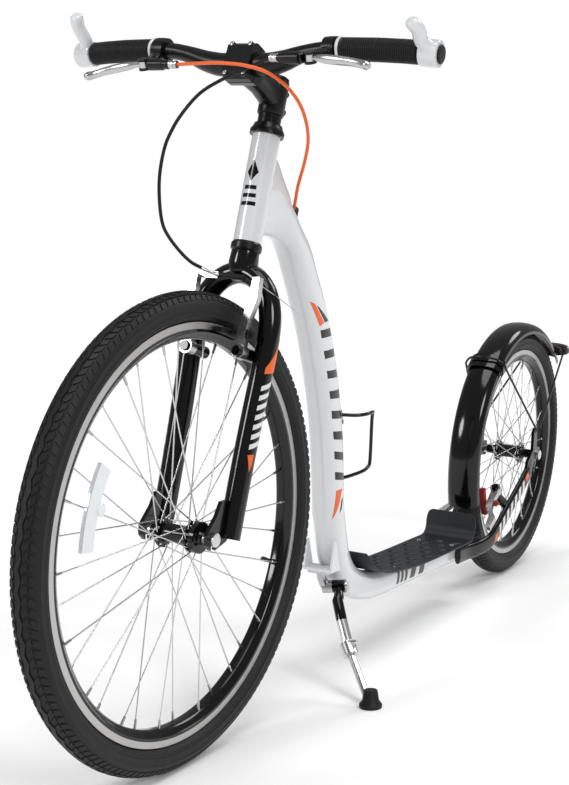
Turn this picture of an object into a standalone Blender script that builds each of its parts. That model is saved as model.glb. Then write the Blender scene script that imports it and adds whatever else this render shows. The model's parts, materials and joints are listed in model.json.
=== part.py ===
"""Kick scooter with two large spoked wheels, rim brakes and a folding side stand.

Metres, +Z up. X runs forward, Y to the rider's left. The geometry is written in an upright
frame whose origin is the rear wheel's ground point; one empty leans the whole scooter onto
its stand, and a second empty turns the fork, bar and front wheel about the steering axis.
"""
import math

import bmesh
import bpy
from mathutils import Matrix, Quaternion, Vector

# ---- driving dimensions ----
LEAN = math.radians(2.8)            # resting lean onto the side stand
TURN = math.radians(2.8)            # resting turn of the front wheel to the rider's right
SHIFT = Vector((-0.6680, -0.0433, 0.0))   # puts the bounding box's bottom centre at the origin
GAP = 0.0003                        # clearance between neighbouring solids

FRONT_R = 0.3265                    # outside radius of the front tyre
REAR_R = 0.2500
TYRE_R = 0.0235                     # radius of the tyre's round section
RIM_DROP = 0.0405                   # from the tyre's outside to the rim's edge
AXLE_FRONT = Vector((1.2600, 0.0, FRONT_R))
AXLE_REAR = Vector((0.0, 0.0, REAR_R))
AXLE_R = 0.0050
WHEEL_SIDES = 32

HEAD_LOW = Vector((1.1036, 0.0, 0.7104))      # lower end of the head tube, on its axis
HEAD_AXIS = Vector((-0.290, 0.0, 0.957)).normalized()
HEAD_LENGTH = 0.1530
HEAD_R = 0.0197
STEERER_R = 0.0143

BAR_R = 0.0111
CLAMP_R = 0.0159
DECK_HALF = 0.0500

Y_AXIS = Vector((0.0, 1.0, 0.0))
Z_AXIS = Vector((0.0, 0.0, 1.0))


# ---- scene, materials, empties ----
def clear_scene():
    for item in list(bpy.data.objects):
        bpy.data.objects.remove(item, do_unlink=True)


def material(name, colour, roughness, metallic=0.0):
    mat = bpy.data.materials.new(name)
    mat.use_nodes = True
    shader = mat.node_tree.nodes["Principled BSDF"]
    shader.inputs["Base Color"].default_value = (*colour, 1.0)
    shader.inputs["Roughness"].default_value = roughness
    shader.inputs["Metallic"].default_value = metallic
    mat.diffuse_color = (*colour, 1.0)
    return mat


HUBS = {}


def add_hub(name, origin, parent=None):
    """An empty at a joint or group origin; pieces under it are written relative to it."""
    empty = bpy.data.objects.new(name, None)
    bpy.context.scene.collection.objects.link(empty)
    origin = Vector(origin)
    base = HUBS[parent][1] if parent else Vector()
    if parent:
        empty.parent = HUBS[parent][0]
    empty.location = origin - base
    HUBS[name] = (empty, origin)
    return empty


def add_piece(name, bm, hub, mat, sharp=34):
    """Write a mesh, given in the upright frame, as a named object under its empty."""
    empty, origin = HUBS[hub]
    bmesh.ops.remove_doubles(bm, verts=bm.verts, dist=1e-5)
    bmesh.ops.dissolve_degenerate(bm, edges=bm.edges, dist=1e-6)
    bmesh.ops.translate(bm, verts=bm.verts, vec=-origin)
    mesh = bpy.data.meshes.new(name)
    bm.to_mesh(mesh)
    bm.free()
    mesh.materials.append(mat)
    mesh.shade_smooth()
    mesh.set_sharp_from_angle(angle=math.radians(sharp))
    obj = bpy.data.objects.new(name, mesh)
    bpy.context.scene.collection.objects.link(obj)
    obj.parent = empty
    return obj


# ---- points and paths ----
def mirrored(point, side):
    return Vector((point[0], point[1] * side, point[2]))


def smooth_path(points, steps=3):
    """Catmull-Rom curve through the points."""
    pts = [Vector(p) for p in points]
    pts = [pts[0] * 2 - pts[1]] + pts + [pts[-1] * 2 - pts[-2]]
    out = []
    for a, b, c, d in zip(pts, pts[1:], pts[2:], pts[3:]):
        for i in range(steps):
            t = i / steps
            out.append(0.5 * (2 * b + (c - a) * t + (2 * a - 5 * b + 4 * c - d) * t * t
                              + (3 * b - a - 3 * c + d) * t ** 3))
    out.append(pts[-2])
    return out


def path_frames(points, side):
    """Each point with two directions square to the path, kept free of twist."""
    pts = [Vector(p) for p in points]
    side = Vector(side)
    frames = []
    for i, point in enumerate(pts):
        tangent = (pts[min(i + 1, len(pts) - 1)] - pts[max(i - 1, 0)]).normalized()
        side = (side - tangent * side.dot(tangent)).normalized()
        frames.append((point, side, tangent.cross(side)))
    return frames


def power(value, exponent):
    return math.copysign(abs(value) ** (2.0 / exponent), value)


def section(centre, u, v, sides, exponent=2.0):
    """Closed oval; u and v are the half axes as vectors."""
    ring = []
    for i in range(sides):
        angle = 2 * math.pi * i / sides
        ring.append(centre + u * power(math.cos(angle), exponent) + v * power(math.sin(angle), exponent))
    return ring


# ---- closed solids ----
def skin(rings, loop=False):
    """Join rings of points into one closed solid, with flat ends unless the rings loop round."""
    bm = bmesh.new()
    rows = [[bm.verts.new(p) for p in ring] for ring in rings]
    pairs = list(zip(rows, rows[1:]))
    if loop:
        pairs.append((rows[-1], rows[0]))
    for low, high in pairs:
        count = len(low)
        for i in range(count):
            j = (i + 1) % count
            bm.faces.new((low[i], low[j], high[j], high[i]))
    if not loop:
        bm.faces.new(rows[0])
        bm.faces.new(list(reversed(rows[-1])))
    bmesh.ops.recalc_face_normals(bm, faces=bm.faces)
    return bm


def turned(profile, centre, axis, sides=16, loop=False, start=None):
    """Solid of revolution from (radius, height) pairs along an axis."""
    axis = Vector(axis).normalized()
    u = Vector(start) if start else axis.orthogonal()
    u = (u - axis * u.dot(axis)).normalized()
    v = axis.cross(u)
    centre = Vector(centre)
    rings = [section(centre + axis * h, u * r, v * r, sides) for r, h in profile]
    return skin(rings, loop)


def swept(points, sizes, sides=10, side=(0, 1, 0), exponent=2.0):
    """Bar along a path. Sizes are half axes: one pair, or one pair for each point."""
    rings = []
    for i, (point, u, v) in enumerate(path_frames(points, side)):
        a, b = sizes[i] if isinstance(sizes, list) else sizes
        rings.append(section(point, u * a, v * b, sides, exponent))
    return skin(rings)


def sleeve(points, inner, outers, sides=12, side=(0, 0, 1)):
    """Tube with a bore, along a path; one outside radius for each point."""
    frames = path_frames(points, side)
    rings = [section(p, u * r, v * r, sides) for (p, u, v), r in zip(frames, outers)]
    rings += [section(p, u * inner, v * inner, sides) for p, u, v in reversed(frames)]
    return skin(rings, loop=True)


def plate(outline, origin, u, v, depth):
    """Flat plate: an outline in the u-v plane, given half its depth each way."""
    origin = Vector(origin)
    u = Vector(u).normalized()
    v = Vector(v).normalized()
    normal = u.cross(v).normalized() * (depth / 2)
    flat = [origin + u * a + v * b for a, b in outline]
    return skin([[p - normal for p in flat], [p + normal for p in flat]])


def block(low, high):
    x0, y0, z0 = low
    x1, y1, z1 = high
    ring = [(x0, y0), (x1, y0), (x1, y1), (x0, y1)]
    return skin([[Vector((x, y, z)) for x, y in ring] for z in (z0, z1)])


def rod(start, end, radius, sides=12):
    start = Vector(start)
    end = Vector(end)
    return turned([(radius, 0.0), (radius, (end - start).length)], start, end - start, sides)


def boolean(base, tool, operation):
    """Exact Boolean of two meshes, returned as a new mesh."""
    pair = []
    for bm in (base, tool):
        mesh = bpy.data.meshes.new("work")
        bm.to_mesh(mesh)
        bm.free()
        obj = bpy.data.objects.new("work", mesh)
        bpy.context.scene.collection.objects.link(obj)
        pair.append(obj)
    modifier = pair[0].modifiers.new("work", "BOOLEAN")
    modifier.operation = operation
    modifier.object = pair[1]
    bpy.context.view_layer.update()
    graph = bpy.context.evaluated_depsgraph_get()
    out = bmesh.new()
    out.from_mesh(pair[0].evaluated_get(graph).to_mesh())
    for obj in pair:
        bpy.data.objects.remove(obj, do_unlink=True)
    return out


def join(base, *others):
    for other in others:
        base = boolean(base, other, "UNION")
    return base


def cut(base, *tools):
    for tool in tools:
        base = boolean(base, tool, "DIFFERENCE")
    return base


def add_cable(name, route, radius, hub, mat, steps=2):
    """Round cable through hand-placed route points, closed at both ends."""
    empty, origin = HUBS[hub]
    curve = bpy.data.curves.new(name, "CURVE")
    curve.dimensions = "3D"
    curve.bevel_depth = radius
    curve.bevel_resolution = 2
    curve.use_fill_caps = True
    points = smooth_path(route, steps)
    spline = curve.splines.new("POLY")
    spline.points.add(len(points) - 1)
    for target, point in zip(spline.points, points):
        target.co = (*(point - origin), 1.0)
    curve.materials.append(mat)
    obj = bpy.data.objects.new(name, curve)
    bpy.context.scene.collection.objects.link(obj)
    obj.parent = empty
    return obj


# ---- frame ----
def on_head(height):
    return HEAD_LOW + HEAD_AXIS * height


# Rear and front edge of the main tube where it flares into the head tube, then half its width.
HEAD_RIBS = [
    ((1.0663, 0.8295), (1.1005, 0.7165), 0.0180),
    ((1.0445, 0.8300), (1.0600, 0.7180), 0.0190),
    ((1.0300, 0.8090), (1.0390, 0.7150), 0.0200),
    ((1.0145, 0.7870), (1.0225, 0.7095), 0.0210),
    ((0.9985, 0.7650), (1.0090, 0.7015), 0.0218),
    ((0.9815, 0.7425), (0.9960, 0.6900), 0.0223),
]
# Centre line of the main tube and half its depth, from the neck down to the rear of the deck.
TUBE_LINE = [
    (0.9660, 0.6920, 0.0262), (0.9400, 0.6505, 0.0275), (0.9210, 0.6200, 0.0290),
    (0.9020, 0.5880, 0.0302), (0.8740, 0.5240, 0.0310), (0.8515, 0.4600, 0.0310),
    (0.8350, 0.3940, 0.0310), (0.8250, 0.3280, 0.0300), (0.8210, 0.2950, 0.0287),
    (0.8130, 0.2610, 0.0277), (0.8020, 0.2260, 0.0282), (0.7900, 0.1940, 0.0283),
    (0.7680, 0.1650, 0.0275), (0.7370, 0.1425, 0.0262), (0.7000, 0.1285, 0.0252),
    (0.6600, 0.1205, 0.0248), (0.6200, 0.1170, 0.0240), (0.5800, 0.1147, 0.0230),
    (0.5400, 0.1127, 0.0220), (0.4500, 0.1098, 0.0222), (0.3600, 0.1061, 0.0226),
    (0.3000, 0.1042, 0.0228), (0.2850, 0.1038, 0.0228),
]
TUBE_HALF_WIDTH = 0.0225
CABLE_ENTRY = Vector((0.9960, 0.0130, 0.7530))
CABLE_ENTRY_AXIS = Vector((0.55, 0.42, 0.72)).normalized()


def main_tube_rings():
    rings = []
    for back, front, half_width in HEAD_RIBS:
        b = Vector((back[0], 0.0, back[1]))
        f = Vector((front[0], 0.0, front[1]))
        rings.append(section((b + f) / 2, (f - b) / 2, Y_AXIS * half_width, 14, 2.4))
    for i, (x, z, half_depth) in enumerate(TUBE_LINE):
        before = TUBE_LINE[max(i - 1, 0)]
        after = TUBE_LINE[min(i + 1, len(TUBE_LINE) - 1)]
        tangent = Vector((after[0] - before[0], 0.0, after[1] - before[1])).normalized()
        front = Vector((-tangent.z, 0.0, tangent.x))
        half = Y_AXIS * TUBE_HALF_WIDTH
        rings.append(section(Vector((x, 0.0, z)), front * half_depth, half, 14, 2.5))
    return rings


def make_main_frame(mat):
    tube = skin(main_tube_rings())
    head = rod(on_head(0.0), on_head(HEAD_LENGTH), HEAD_R, 28)
    bore = rod(on_head(-0.05), on_head(HEAD_LENGTH + 0.05), 0.0153, 20)
    pocket = rod(CABLE_ENTRY - CABLE_ENTRY_AXIS * 0.0085, CABLE_ENTRY + CABLE_ENTRY_AXIS * 0.05, 0.0078)
    add_piece("main_frame", cut(join(tube, head), bore, pocket), "scooter", mat)


def make_grommet(mat):
    profile = [(0.0029, -0.0082), (0.0073, -0.0082), (0.0073, 0.0035), (0.0064, 0.0050), (0.0029, 0.0050)]
    ring = turned(profile, CABLE_ENTRY, CABLE_ENTRY_AXIS, 16, loop=True)
    add_piece("cable_grommet", ring, "scooter", mat)


def make_headset(mat):
    top = HEAD_LENGTH + GAP
    upper = [(0.0150, top), (0.0242, top), (0.0242, top + 0.0065), (0.0212, top + 0.0110),
             (0.0198, top + 0.0155), (0.0150, top + 0.0155)]
    lower = [(0.0150, -GAP), (0.0198, -GAP), (0.0218, -0.0030), (0.0218, -0.0108),
             (0.0192, -0.0135), (0.0150, -0.0135)]
    add_piece("headset_upper_cup", turned(upper, HEAD_LOW, HEAD_AXIS, 20, loop=True), "scooter", mat)
    add_piece("headset_lower_cup", turned(lower, HEAD_LOW, HEAD_AXIS, 20, loop=True), "scooter", mat)


# Top face of the deck from the turned-up heel to the turned-up toe lip: x, z, half width.
DECK_LINE = [
    (0.2965, 0.1780, 0.0390), (0.2968, 0.1730, 0.0465), (0.2978, 0.1600, 0.0500),
    (0.3000, 0.1440, 0.0500), (0.3080, 0.1345, 0.0500), (0.3200, 0.1316, 0.0500),
    (0.3600, 0.1325, 0.0500), (0.5400, 0.1380, 0.0500), (0.6400, 0.1480, 0.0500),
    (0.6720, 0.1525, 0.0500), (0.7000, 0.1600, 0.0485), (0.7200, 0.1730, 0.0430),
    (0.7330, 0.1870, 0.0380), (0.7385, 0.1950, 0.0340),
]
DECK_THICKNESS = 0.0030


def make_deck(mat):
    points = [Vector((x, 0.0, z)) for x, z, _ in DECK_LINE]
    rings = []
    for (point, side, up), row in zip(path_frames(points, Y_AXIS), DECK_LINE):
        down = up * -DECK_THICKNESS
        half = side * row[2]
        rings.append([point - half, point + half, point + half + down, point - half + down])
    add_piece("deck_plate", skin(rings), "scooter", mat)


STAY_LINE = [
    (0.3250, 0.0292, 0.1015), (0.2850, 0.0310, 0.1010), (0.2450, 0.0400, 0.1030),
    (0.2050, 0.0465, 0.1100), (0.1650, 0.0485, 0.1310), (0.1200, 0.0520, 0.1630),
    (0.0750, 0.0560, 0.1960), (0.0400, 0.0575, 0.2220),
]
DROPOUT_Y = 0.0575


def slot_outline(radius):
    """Open-ended axle slot seen from the side: down the front, round the top, down the back."""
    arc = []
    for i in range(9):
        angle = math.pi * i / 8
        arc.append((radius * math.cos(angle), radius * math.sin(angle)))
    return arc


def make_rear_stays(mat):
    slot = slot_outline(AXLE_R + GAP)
    edge = [(0.0053, -0.0135), (0.0150, -0.0120), (0.0300, -0.0290), (0.0560, -0.0270), (0.0530, -0.0080),
            (0.0260, 0.0130), (0.0270, 0.0480), (0.0220, 0.0560), (0.0130, 0.0560), (0.0090, 0.0480),
            (0.0060, 0.0170), (-0.0100, 0.0150), (-0.0150, 0.0040), (-0.0150, -0.0100), (-0.0053, -0.0150)]
    for side, name in ((1, "left"), (-1, "right")):
        bar = swept([mirrored(p, side) for p in STAY_LINE], (0.0058, 0.0150), 10, Y_AXIS, 2.6)
        outline = edge + list(reversed(slot))
        dropout = plate(outline, AXLE_REAR + Y_AXIS * DROPOUT_Y * side, (1, 0, 0), Z_AXIS, 0.0060)
        lug = swept([mirrored(p, side) for p in ((0.1180, 0.0500, 0.1560), (0.1330, 0.0440, 0.1700),
                                                 (0.1470, REAR_BRAKE["pivot_y"], 0.1848))], (0.0088, 0.0088))
        boss = brake_boss(REAR_BRAKE, side, -0.0250)
        eye = rod((0.0175, side * 0.0500, 0.3000), (0.0175, side * 0.0700, 0.3000), 0.0027, 12)
        stay = cut(join(bar, dropout, lug, boss), eye)
        add_piece("rear_stay_" + name, stay, "scooter", mat)


# ---- side stand and its bracket ----
STAND_PIVOT = Vector((0.8150, 0.0200, 0.1550))
STAND_AXIS = Vector((-0.20, 0.97, 0.14)).normalized()
STAND_LINE = [(0.8380, 0.0330, 0.1390), (0.8520, 0.0490, 0.1120), (0.8680, 0.0720, 0.0730)]
UP = Vector((0.0, -math.sin(LEAN), math.cos(LEAN)))      # true vertical, seen in the leaning frame
FOOT = Vector((0.9170, 0.1360 * math.cos(LEAN), 0.1360 * math.sin(LEAN)))


def make_stand_bracket(mat):
    floor = block((0.8185, -0.0260, 0.1840), (0.8490, 0.0260, 0.1880))
    outline = [(0.8190, 0.1845), (0.8485, 0.1845), (0.8485, 0.1930), (0.8410, 0.2325), (0.8362, 0.2325)]
    cheeks = [plate(outline, (0, y, 0), (1, 0, 0), Z_AXIS, 0.0034) for y in (0.0240, -0.0240)]
    add_piece("stand_bracket", join(floor, *cheeks), "scooter", mat)


def make_stand_mount(mat):
    along = STAND_AXIS
    stem = swept([(0.8310, -0.0020, 0.1815), (0.8280, -0.0015, 0.1700), (0.8205, 0.0, 0.1560)], (0.0082, 0.0082))
    barrel = turned([(0.0105, -0.0230), (0.0105, -0.0060), (0.0046, -0.0060), (0.0046, 0.0148),
                     (0.0075, 0.0148), (0.0068, 0.0180)], STAND_PIVOT, along, 12)
    flange = block((0.8205, -0.0180, 0.1795), (0.8470, 0.0180, 0.1835))
    add_piece("stand_mount", join(flange, stem, barrel), "scooter", mat)


def make_stand(mat, rubber):
    pivot = STAND_PIVOT
    first = Vector(STAND_LINE[0])
    begin = pivot + (first - pivot).normalized() * 0.0060 + STAND_AXIS * 0.0030
    line = [begin, pivot.lerp(first, 0.8) + STAND_AXIS * 0.0022] + [Vector(p) for p in STAND_LINE]
    clamp = line[-1]
    down = (FOOT - clamp).normalized()
    line.append(clamp + down * 0.0120)
    leg = swept(line, [(0.0064, 0.0064), (0.0085, 0.0085)] + [(0.0088, 0.0088)] * 4, 12)
    boss = turned([(0.0105, -0.0055), (0.0105, 0.0140)], pivot, STAND_AXIS, 16)
    band = turned([(0.0122, -0.0110), (0.0122, 0.0110)], clamp, down, 16)
    bolt = rod(clamp + Vector((0.0, -0.0090, 0.0105)), clamp + Vector((0.0, 0.0130, 0.0135)), 0.0045, 8)
    bore = rod(pivot - STAND_AXIS * 0.03, pivot + STAND_AXIS * 0.03, 0.0050, 16)
    add_piece("stand_leg", cut(join(boss, leg, band, bolt), bore), "side_stand", mat)
    begin = clamp + down * (0.0120 + GAP)
    end = FOOT - down * 0.0135
    add_piece("stand_lower_leg", rod(begin, end, 0.0062, 12), "side_stand", mat)
    profile = [(0.0175, 0.0), (0.0178, 0.0045), (0.0130, 0.0110), (0.0112, 0.0240), (0.0100, 0.0270)]
    foot = turned(profile, FOOT, UP, 14)
    pocket = rod(FOOT - down * 0.0130, FOOT - down * 0.0600, 0.0062 + GAP + 0.0002, 12)
    add_piece("stand_foot", cut(foot, pocket), "side_stand", rubber)


# ---- bottle cage ----
CAGE_SIDE = [
    (0.7996, 0.0050, 0.4300), (0.7900, 0.0260, 0.4300), (0.7780, 0.0370, 0.4310), (0.7620, 0.0400, 0.4320),
    (0.7450, 0.0365, 0.4310), (0.7330, 0.0305, 0.4260), (0.7300, 0.0280, 0.4130), (0.7300, 0.0280, 0.3500),
    (0.7340, 0.0265, 0.3380), (0.7450, 0.0215, 0.3315), (0.7700, 0.0120, 0.3270), (0.7842, 0.0050, 0.3250),
]


def make_bottle_cage(mat):
    route = [Vector(p) for p in CAGE_SIDE] + [mirrored(p, -1) for p in reversed(CAGE_SIDE)]
    rings = []
    count = len(route)
    for i, point in enumerate(route):
        tangent = (route[(i + 1) % count] - route[i - 1]).normalized()
        outward = Vector((point.x - 0.7650, point.y, 0.0))
        if abs(tangent.z) < 0.7:
            outward = Z_AXIS.copy()
        u = (outward - tangent * outward.dot(tangent)).normalized()
        rings.append((point, tangent, u))
    fixed = []
    previous = rings[0][2]
    for point, tangent, _ in rings:
        previous = (previous - tangent * previous.dot(tangent)).normalized()
        fixed.append(section(point, previous * 0.0022, tangent.cross(previous) * 0.0022, 6))
    wire = skin(fixed, loop=True)
    spine = plate([(0.8033, 0.4450), (0.8056, 0.4450), (0.7846, 0.3160), (0.7823, 0.3160)],
                  (0, 0, 0), (1, 0, 0), Z_AXIS, 0.0130)
    bosses = []
    for x, z, nx, nz, reach in ((0.8120, 0.4345, -0.970, 0.243, 0.0105), (0.7957, 0.3346, -0.993, 0.120, 0.0100)):
        face = Vector((x, 0.0, z))
        normal = Vector((nx, 0.0, nz)).normalized()
        bosses.append(rod(face + normal * 0.0006, face + normal * (reach + 0.003), 0.0050, 12))
    clip = block((0.7262, -0.0312, 0.4020), (0.7338, -0.0247, 0.4085))
    add_piece("bottle_cage", join(spine, wire, clip, *bosses), "scooter", mat)


# ---- mudguard ----
def around_rear(radius, degrees, y):
    angle = math.radians(degrees)
    return AXLE_REAR + Vector((radius * math.cos(angle), y, radius * math.sin(angle)))


GUARD_ARCH = [(-0.0310, 0.2430), (-0.0298, 0.2520), (-0.0225, 0.2600), (-0.0110, 0.2634), (0.0, 0.2642),
              (0.0110, 0.2634), (0.0225, 0.2600), (0.0298, 0.2520), (0.0310, 0.2430)]
GUARD_THICK = 0.0017


def make_mudguard(mat):
    rings = []
    for i in range(15):
        degrees = -16.0 + 153.0 * i / 14
        outer = [around_rear(r, degrees, y) for y, r in GUARD_ARCH]
        inner = []
        for y, r in reversed(GUARD_ARCH):
            inner.append(around_rear(r - (GUARD_THICK if abs(y) < 0.029 else 0.0), degrees,
                                     y - math.copysign(GUARD_THICK if abs(y) > 0.029 else 0.0, y)))
        rings.append(outer + inner)
    add_piece("mudguard", skin(rings), "scooter", mat)


def make_mudguard_bridge(mat):
    arch = [(-0.0345, 0.2420), (-0.0335, 0.2535), (-0.0250, 0.2635), (-0.0120, 0.2668), (0.0, 0.2674),
            (0.0120, 0.2668), (0.0250, 0.2635), (0.0335, 0.2535), (0.0345, 0.2420)]
    rings = []
    for y, r in arch:
        thick = 0.0018
        lift_y = math.copysign(thick if abs(y) > 0.03 else 0.0, y)
        lift_r = 0.0 if abs(y) > 0.03 else thick
        rings.append([around_rear(r, 46.5, y), around_rear(r, 53.5, y),
                      around_rear(r + lift_r, 53.5, y + lift_y), around_rear(r + lift_r, 46.5, y + lift_y)])
    add_piece("mudguard_bridge", skin(rings), "scooter", mat)


def make_mudguard_stays(mat):
    front = [(0.0255, 0.0650, 0.3040), (0.1500, 0.0430, 0.4300), (0.1630, 0.0405, 0.4455),
             (0.1710, 0.0290, 0.4570), (0.1752, 0.0120, 0.4610), (0.1757, 0.0, 0.4615)]
    rear = [(0.0100, 0.0650, 0.3050), (-0.1650, 0.0420, 0.4230), (-0.1775, 0.0400, 0.4360),
            (-0.1840, 0.0290, 0.4500), (-0.1870, 0.0120, 0.4530), (-0.1875, 0.0, 0.4535)]
    for name, half in (("mudguard_stay_front", front), ("mudguard_stay_rear", rear)):
        route = [Vector(p) for p in half] + [mirrored(p, -1) for p in reversed(half[:-1])]
        add_piece(name, swept(route, (0.0021, 0.0021), 6, (0.3, 0.0, 0.9)), "scooter", mat)


def make_rear_reflector(mat):
    """Wide reflector on a short tongue behind the mudguard's end."""
    centre = Vector((-0.2130, 0.0, 0.4400))
    normal = Vector((-0.985, 0.0, 0.17)).normalized()
    up = Y_AXIS.cross(normal).normalized()
    up = up if up.z > 0 else -up
    rings = []
    for depth, a, b in ((0.0, 0.0375, 0.0085), (0.0020, 0.0420, 0.0125), (0.0095, 0.0430, 0.0135),
                        (0.0120, 0.0405, 0.0115)):
        rings.append(section(centre + normal * depth, Y_AXIS * a, up * b, 20, 2.8))
    tongue = swept([(-0.1965, 0.0, 0.4395), (-0.2070, 0.0, 0.4408), (-0.2160, 0.0, 0.4410)], (0.0100, 0.0020), 8,
                   Y_AXIS, 4.0)
    add_piece("rear_reflector", join(skin(rings), tongue), "scooter", mat)


# ---- wheels ----
def ring_arc(centre_radius, radius, degrees):
    return [(centre_radius + radius * math.cos(math.radians(d)), radius * math.sin(math.radians(d)))
            for d in degrees]


def make_tyre(name, hub, centre, radius, mat):
    """Tyre section open towards the rim, with two beads inside the rim's flanges."""
    edge = radius - RIM_DROP
    middle = radius - TYRE_R
    outer = ring_arc(middle, TYRE_R, (127, 80, 38, 0, -38, -80, -127))
    inner = ring_arc(middle, 0.0200, (-105, 0, 105))
    bead = [(edge + 0.0006, 0.0108), (edge - 0.0085, 0.0108), (edge - 0.0085, 0.0078), (edge + 0.0020, 0.0085)]
    profile = outer + [(r, -y) for r, y in bead] + inner + list(reversed(bead))
    add_piece(name, turned(profile, centre, Y_AXIS, WHEEL_SIDES, True, -Z_AXIS), hub, mat)


def make_rim(name, hub, centre, radius, mat):
    edge = radius - RIM_DROP
    half = [(edge, 0.0112), (edge, 0.0139), (edge - 0.0140, 0.0139), (edge - 0.0240, 0.0060)]
    bed = (edge - 0.0092, 0.0112)
    profile = half + [(r, -y) for r, y in reversed(half)] + [(bed[0], -bed[1]), bed]
    add_piece(name, turned(profile, centre, Y_AXIS, WHEEL_SIDES, True, -Z_AXIS), hub, mat)


FLANGE_ROWS = (0.0205, 0.0235, 0.0265)      # the elbow ring's three edges, outwards from the middle


def make_spokes(name, hub, centre, radius, side, mat):
    """Eighteen spokes grown from one elbow ring; the two crossing sets lie in separate layers."""
    outer_r = 0.0240
    inner_r = 0.0220
    rim_r = (radius - RIM_DROP - 0.0240) * math.cos(math.pi / WHEEL_SIDES) - 0.0009
    offset = 10.0 if side < 0 else 0.0
    bm = bmesh.new()

    def point(r, degrees, y):
        angle = math.radians(degrees)
        return Vector((r * math.cos(angle), y * side, r * math.sin(angle))) + centre

    angles = [offset + 20.0 * i - 10.0 for i in range(18)]
    rows = [[bm.verts.new(point(outer_r, a, y)) for a in angles] for y in FLANGE_ROWS]
    rows.append([bm.verts.new(point(inner_r, a, FLANGE_ROWS[2])) for a in angles])
    rows.append([bm.verts.new(point(inner_r, a, FLANGE_ROWS[0])) for a in angles])
    for row in range(5):
        following = (row + 1) % 5
        for i in range(18):
            j = (i + 1) % 18
            corners = (rows[row][i], rows[row][j], rows[following][j], rows[following][i])
            leading = row == 1 and i % 2 == 0
            trailing = row == 0 and i % 2 == 1
            if leading or trailing:
                grow_spoke(bm, corners, centre, offset + 20.0 * i, 1 if leading else -1, rim_r, side)
            else:
                bm.faces.new(corners)
    bmesh.ops.recalc_face_normals(bm, faces=bm.faces)
    add_piece(name, bm, hub, mat)


def grow_spoke(bm, corners, centre, degrees, sense, rim_r, side):
    """Replace one facet of the elbow ring by a spoke that leans round to the rim."""
    middle = sum((c.co for c in corners), Vector()) / 4
    away = math.radians(degrees + 60.0 * sense)
    y_rim = 0.0055 if sense > 0 else 0.0035
    end = centre + Vector((rim_r * math.cos(away), y_rim * side, rim_r * math.sin(away)))
    along = (end - middle).normalized()
    tangent = (corners[1].co - corners[0].co).normalized()
    across = Y_AXIS.cross(along).normalized()
    if across.dot(tangent) < 0:
        across = -across
    rise = (corners[3].co - corners[0].co).normalized()
    base = []
    tip = []
    for t_sign, r_sign in ((-1, -1), (1, -1), (1, 1), (-1, 1)):
        base.append(bm.verts.new(middle + tangent * 0.0021 * t_sign + rise * 0.0008 * r_sign))
        tip.append(bm.verts.new(end + across * 0.0009 * t_sign + rise * 0.0008 * r_sign))
    for i in range(4):
        j = (i + 1) % 4
        bm.faces.new((corners[i], corners[j], base[j], base[i]))
        bm.faces.new((base[i], base[j], tip[j], tip[i]))
    bm.faces.new(tip)


def make_wheel(prefix, centre, radius, hub_profile, mats):
    hub = prefix + "_wheel"
    make_tyre(prefix + "_tyre", hub, centre, radius, mats["tyre"])
    make_rim(prefix + "_rim", hub, centre, radius, mats["rim"])
    bored = hub_profile + [(AXLE_R + 0.0006, hub_profile[-1][1]), (AXLE_R + 0.0006, hub_profile[0][1])]
    add_piece(prefix + "_hub", turned(bored, centre, Y_AXIS, 16, True), hub, mats["black"])
    for side, name in ((1, "left"), (-1, "right")):
        make_spokes(prefix + "_spokes_" + name, hub, centre, radius, side, mats["steel"])


def flange(sign):
    pair = [(0.0125, 0.0252), (0.0212, 0.0250), (0.0212, 0.0220), (0.0135, 0.0205)]
    return [(r, h * sign) for r, h in pair]


def front_hub_profile():
    near = [(0.0085, -0.0410), (0.0085, -0.0310), (0.0115, -0.0285)]
    disc_side = [(0.0125, 0.0278), (0.0215, 0.0290), (0.0215, 0.0365), (0.0100, 0.0372), (0.0085, 0.0410)]
    return near + flange(-1) + [(0.0125, 0.0)] + list(reversed(flange(1))) + disc_side


def rear_hub_profile():
    end = [(0.0085, -0.0460), (0.0090, -0.0330), (0.0115, -0.0300)]
    mirrored_end = [(r, -h) for r, h in reversed(end)]
    return end + flange(-1) + [(0.0125, 0.0)] + list(reversed(flange(1))) + mirrored_end


def make_wheel_reflector(mat):
    """Curved reflector clipped across the spokes on the left of the front wheel."""
    outline = []
    for i in range(9):
        angle = math.radians(5.5 + 28.5 * i / 8)
        outline.append((0.2300 * math.cos(angle), 0.2300 * math.sin(angle)))
    for i in range(9):
        angle = math.radians(34.0 - 28.5 * i / 8)
        outline.append((0.2080 * math.cos(angle), 0.2080 * math.sin(angle)))
    arc = plate(outline, AXLE_FRONT + Y_AXIS * 0.0155, (1, 0, 0), Z_AXIS, 0.0060)
    angle = math.radians(20.0)
    out = Vector((math.cos(angle), 0.0, math.sin(angle)))
    boss = AXLE_FRONT + out * 0.2040 + Y_AXIS * 0.0122
    pad = turned([(0.0085, 0.0), (0.0085, 0.0068), (0.0070, 0.0080)], boss, Y_AXIS, 12)
    add_piece("front_reflector", join(arc, pad), "front_wheel", mat)


def make_axle(name, centre, hub, inner, dropout, mat):
    """Axle with a lock nut inside each dropout and a track nut outside it."""
    low, high = dropout
    half = [(AXLE_R, 0.0), (AXLE_R, inner), (0.0082, inner), (0.0082, low - GAP), (AXLE_R, low - GAP),
            (AXLE_R, high + GAP), (0.0095, high + GAP), (0.0095, high + 0.0052), (0.0062, high + 0.0060)]
    profile = [(r, -h) for r, h in reversed(half[1:])] + half
    add_piece(name, turned(profile, centre, Y_AXIS, 12), hub, mat)


# ---- fork ----
def leg_x(z):
    """The fork legs lie in the plane of the steering axis."""
    return HEAD_LOW.x + (z - HEAD_LOW.z) * HEAD_AXIS.x / HEAD_AXIS.z


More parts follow.
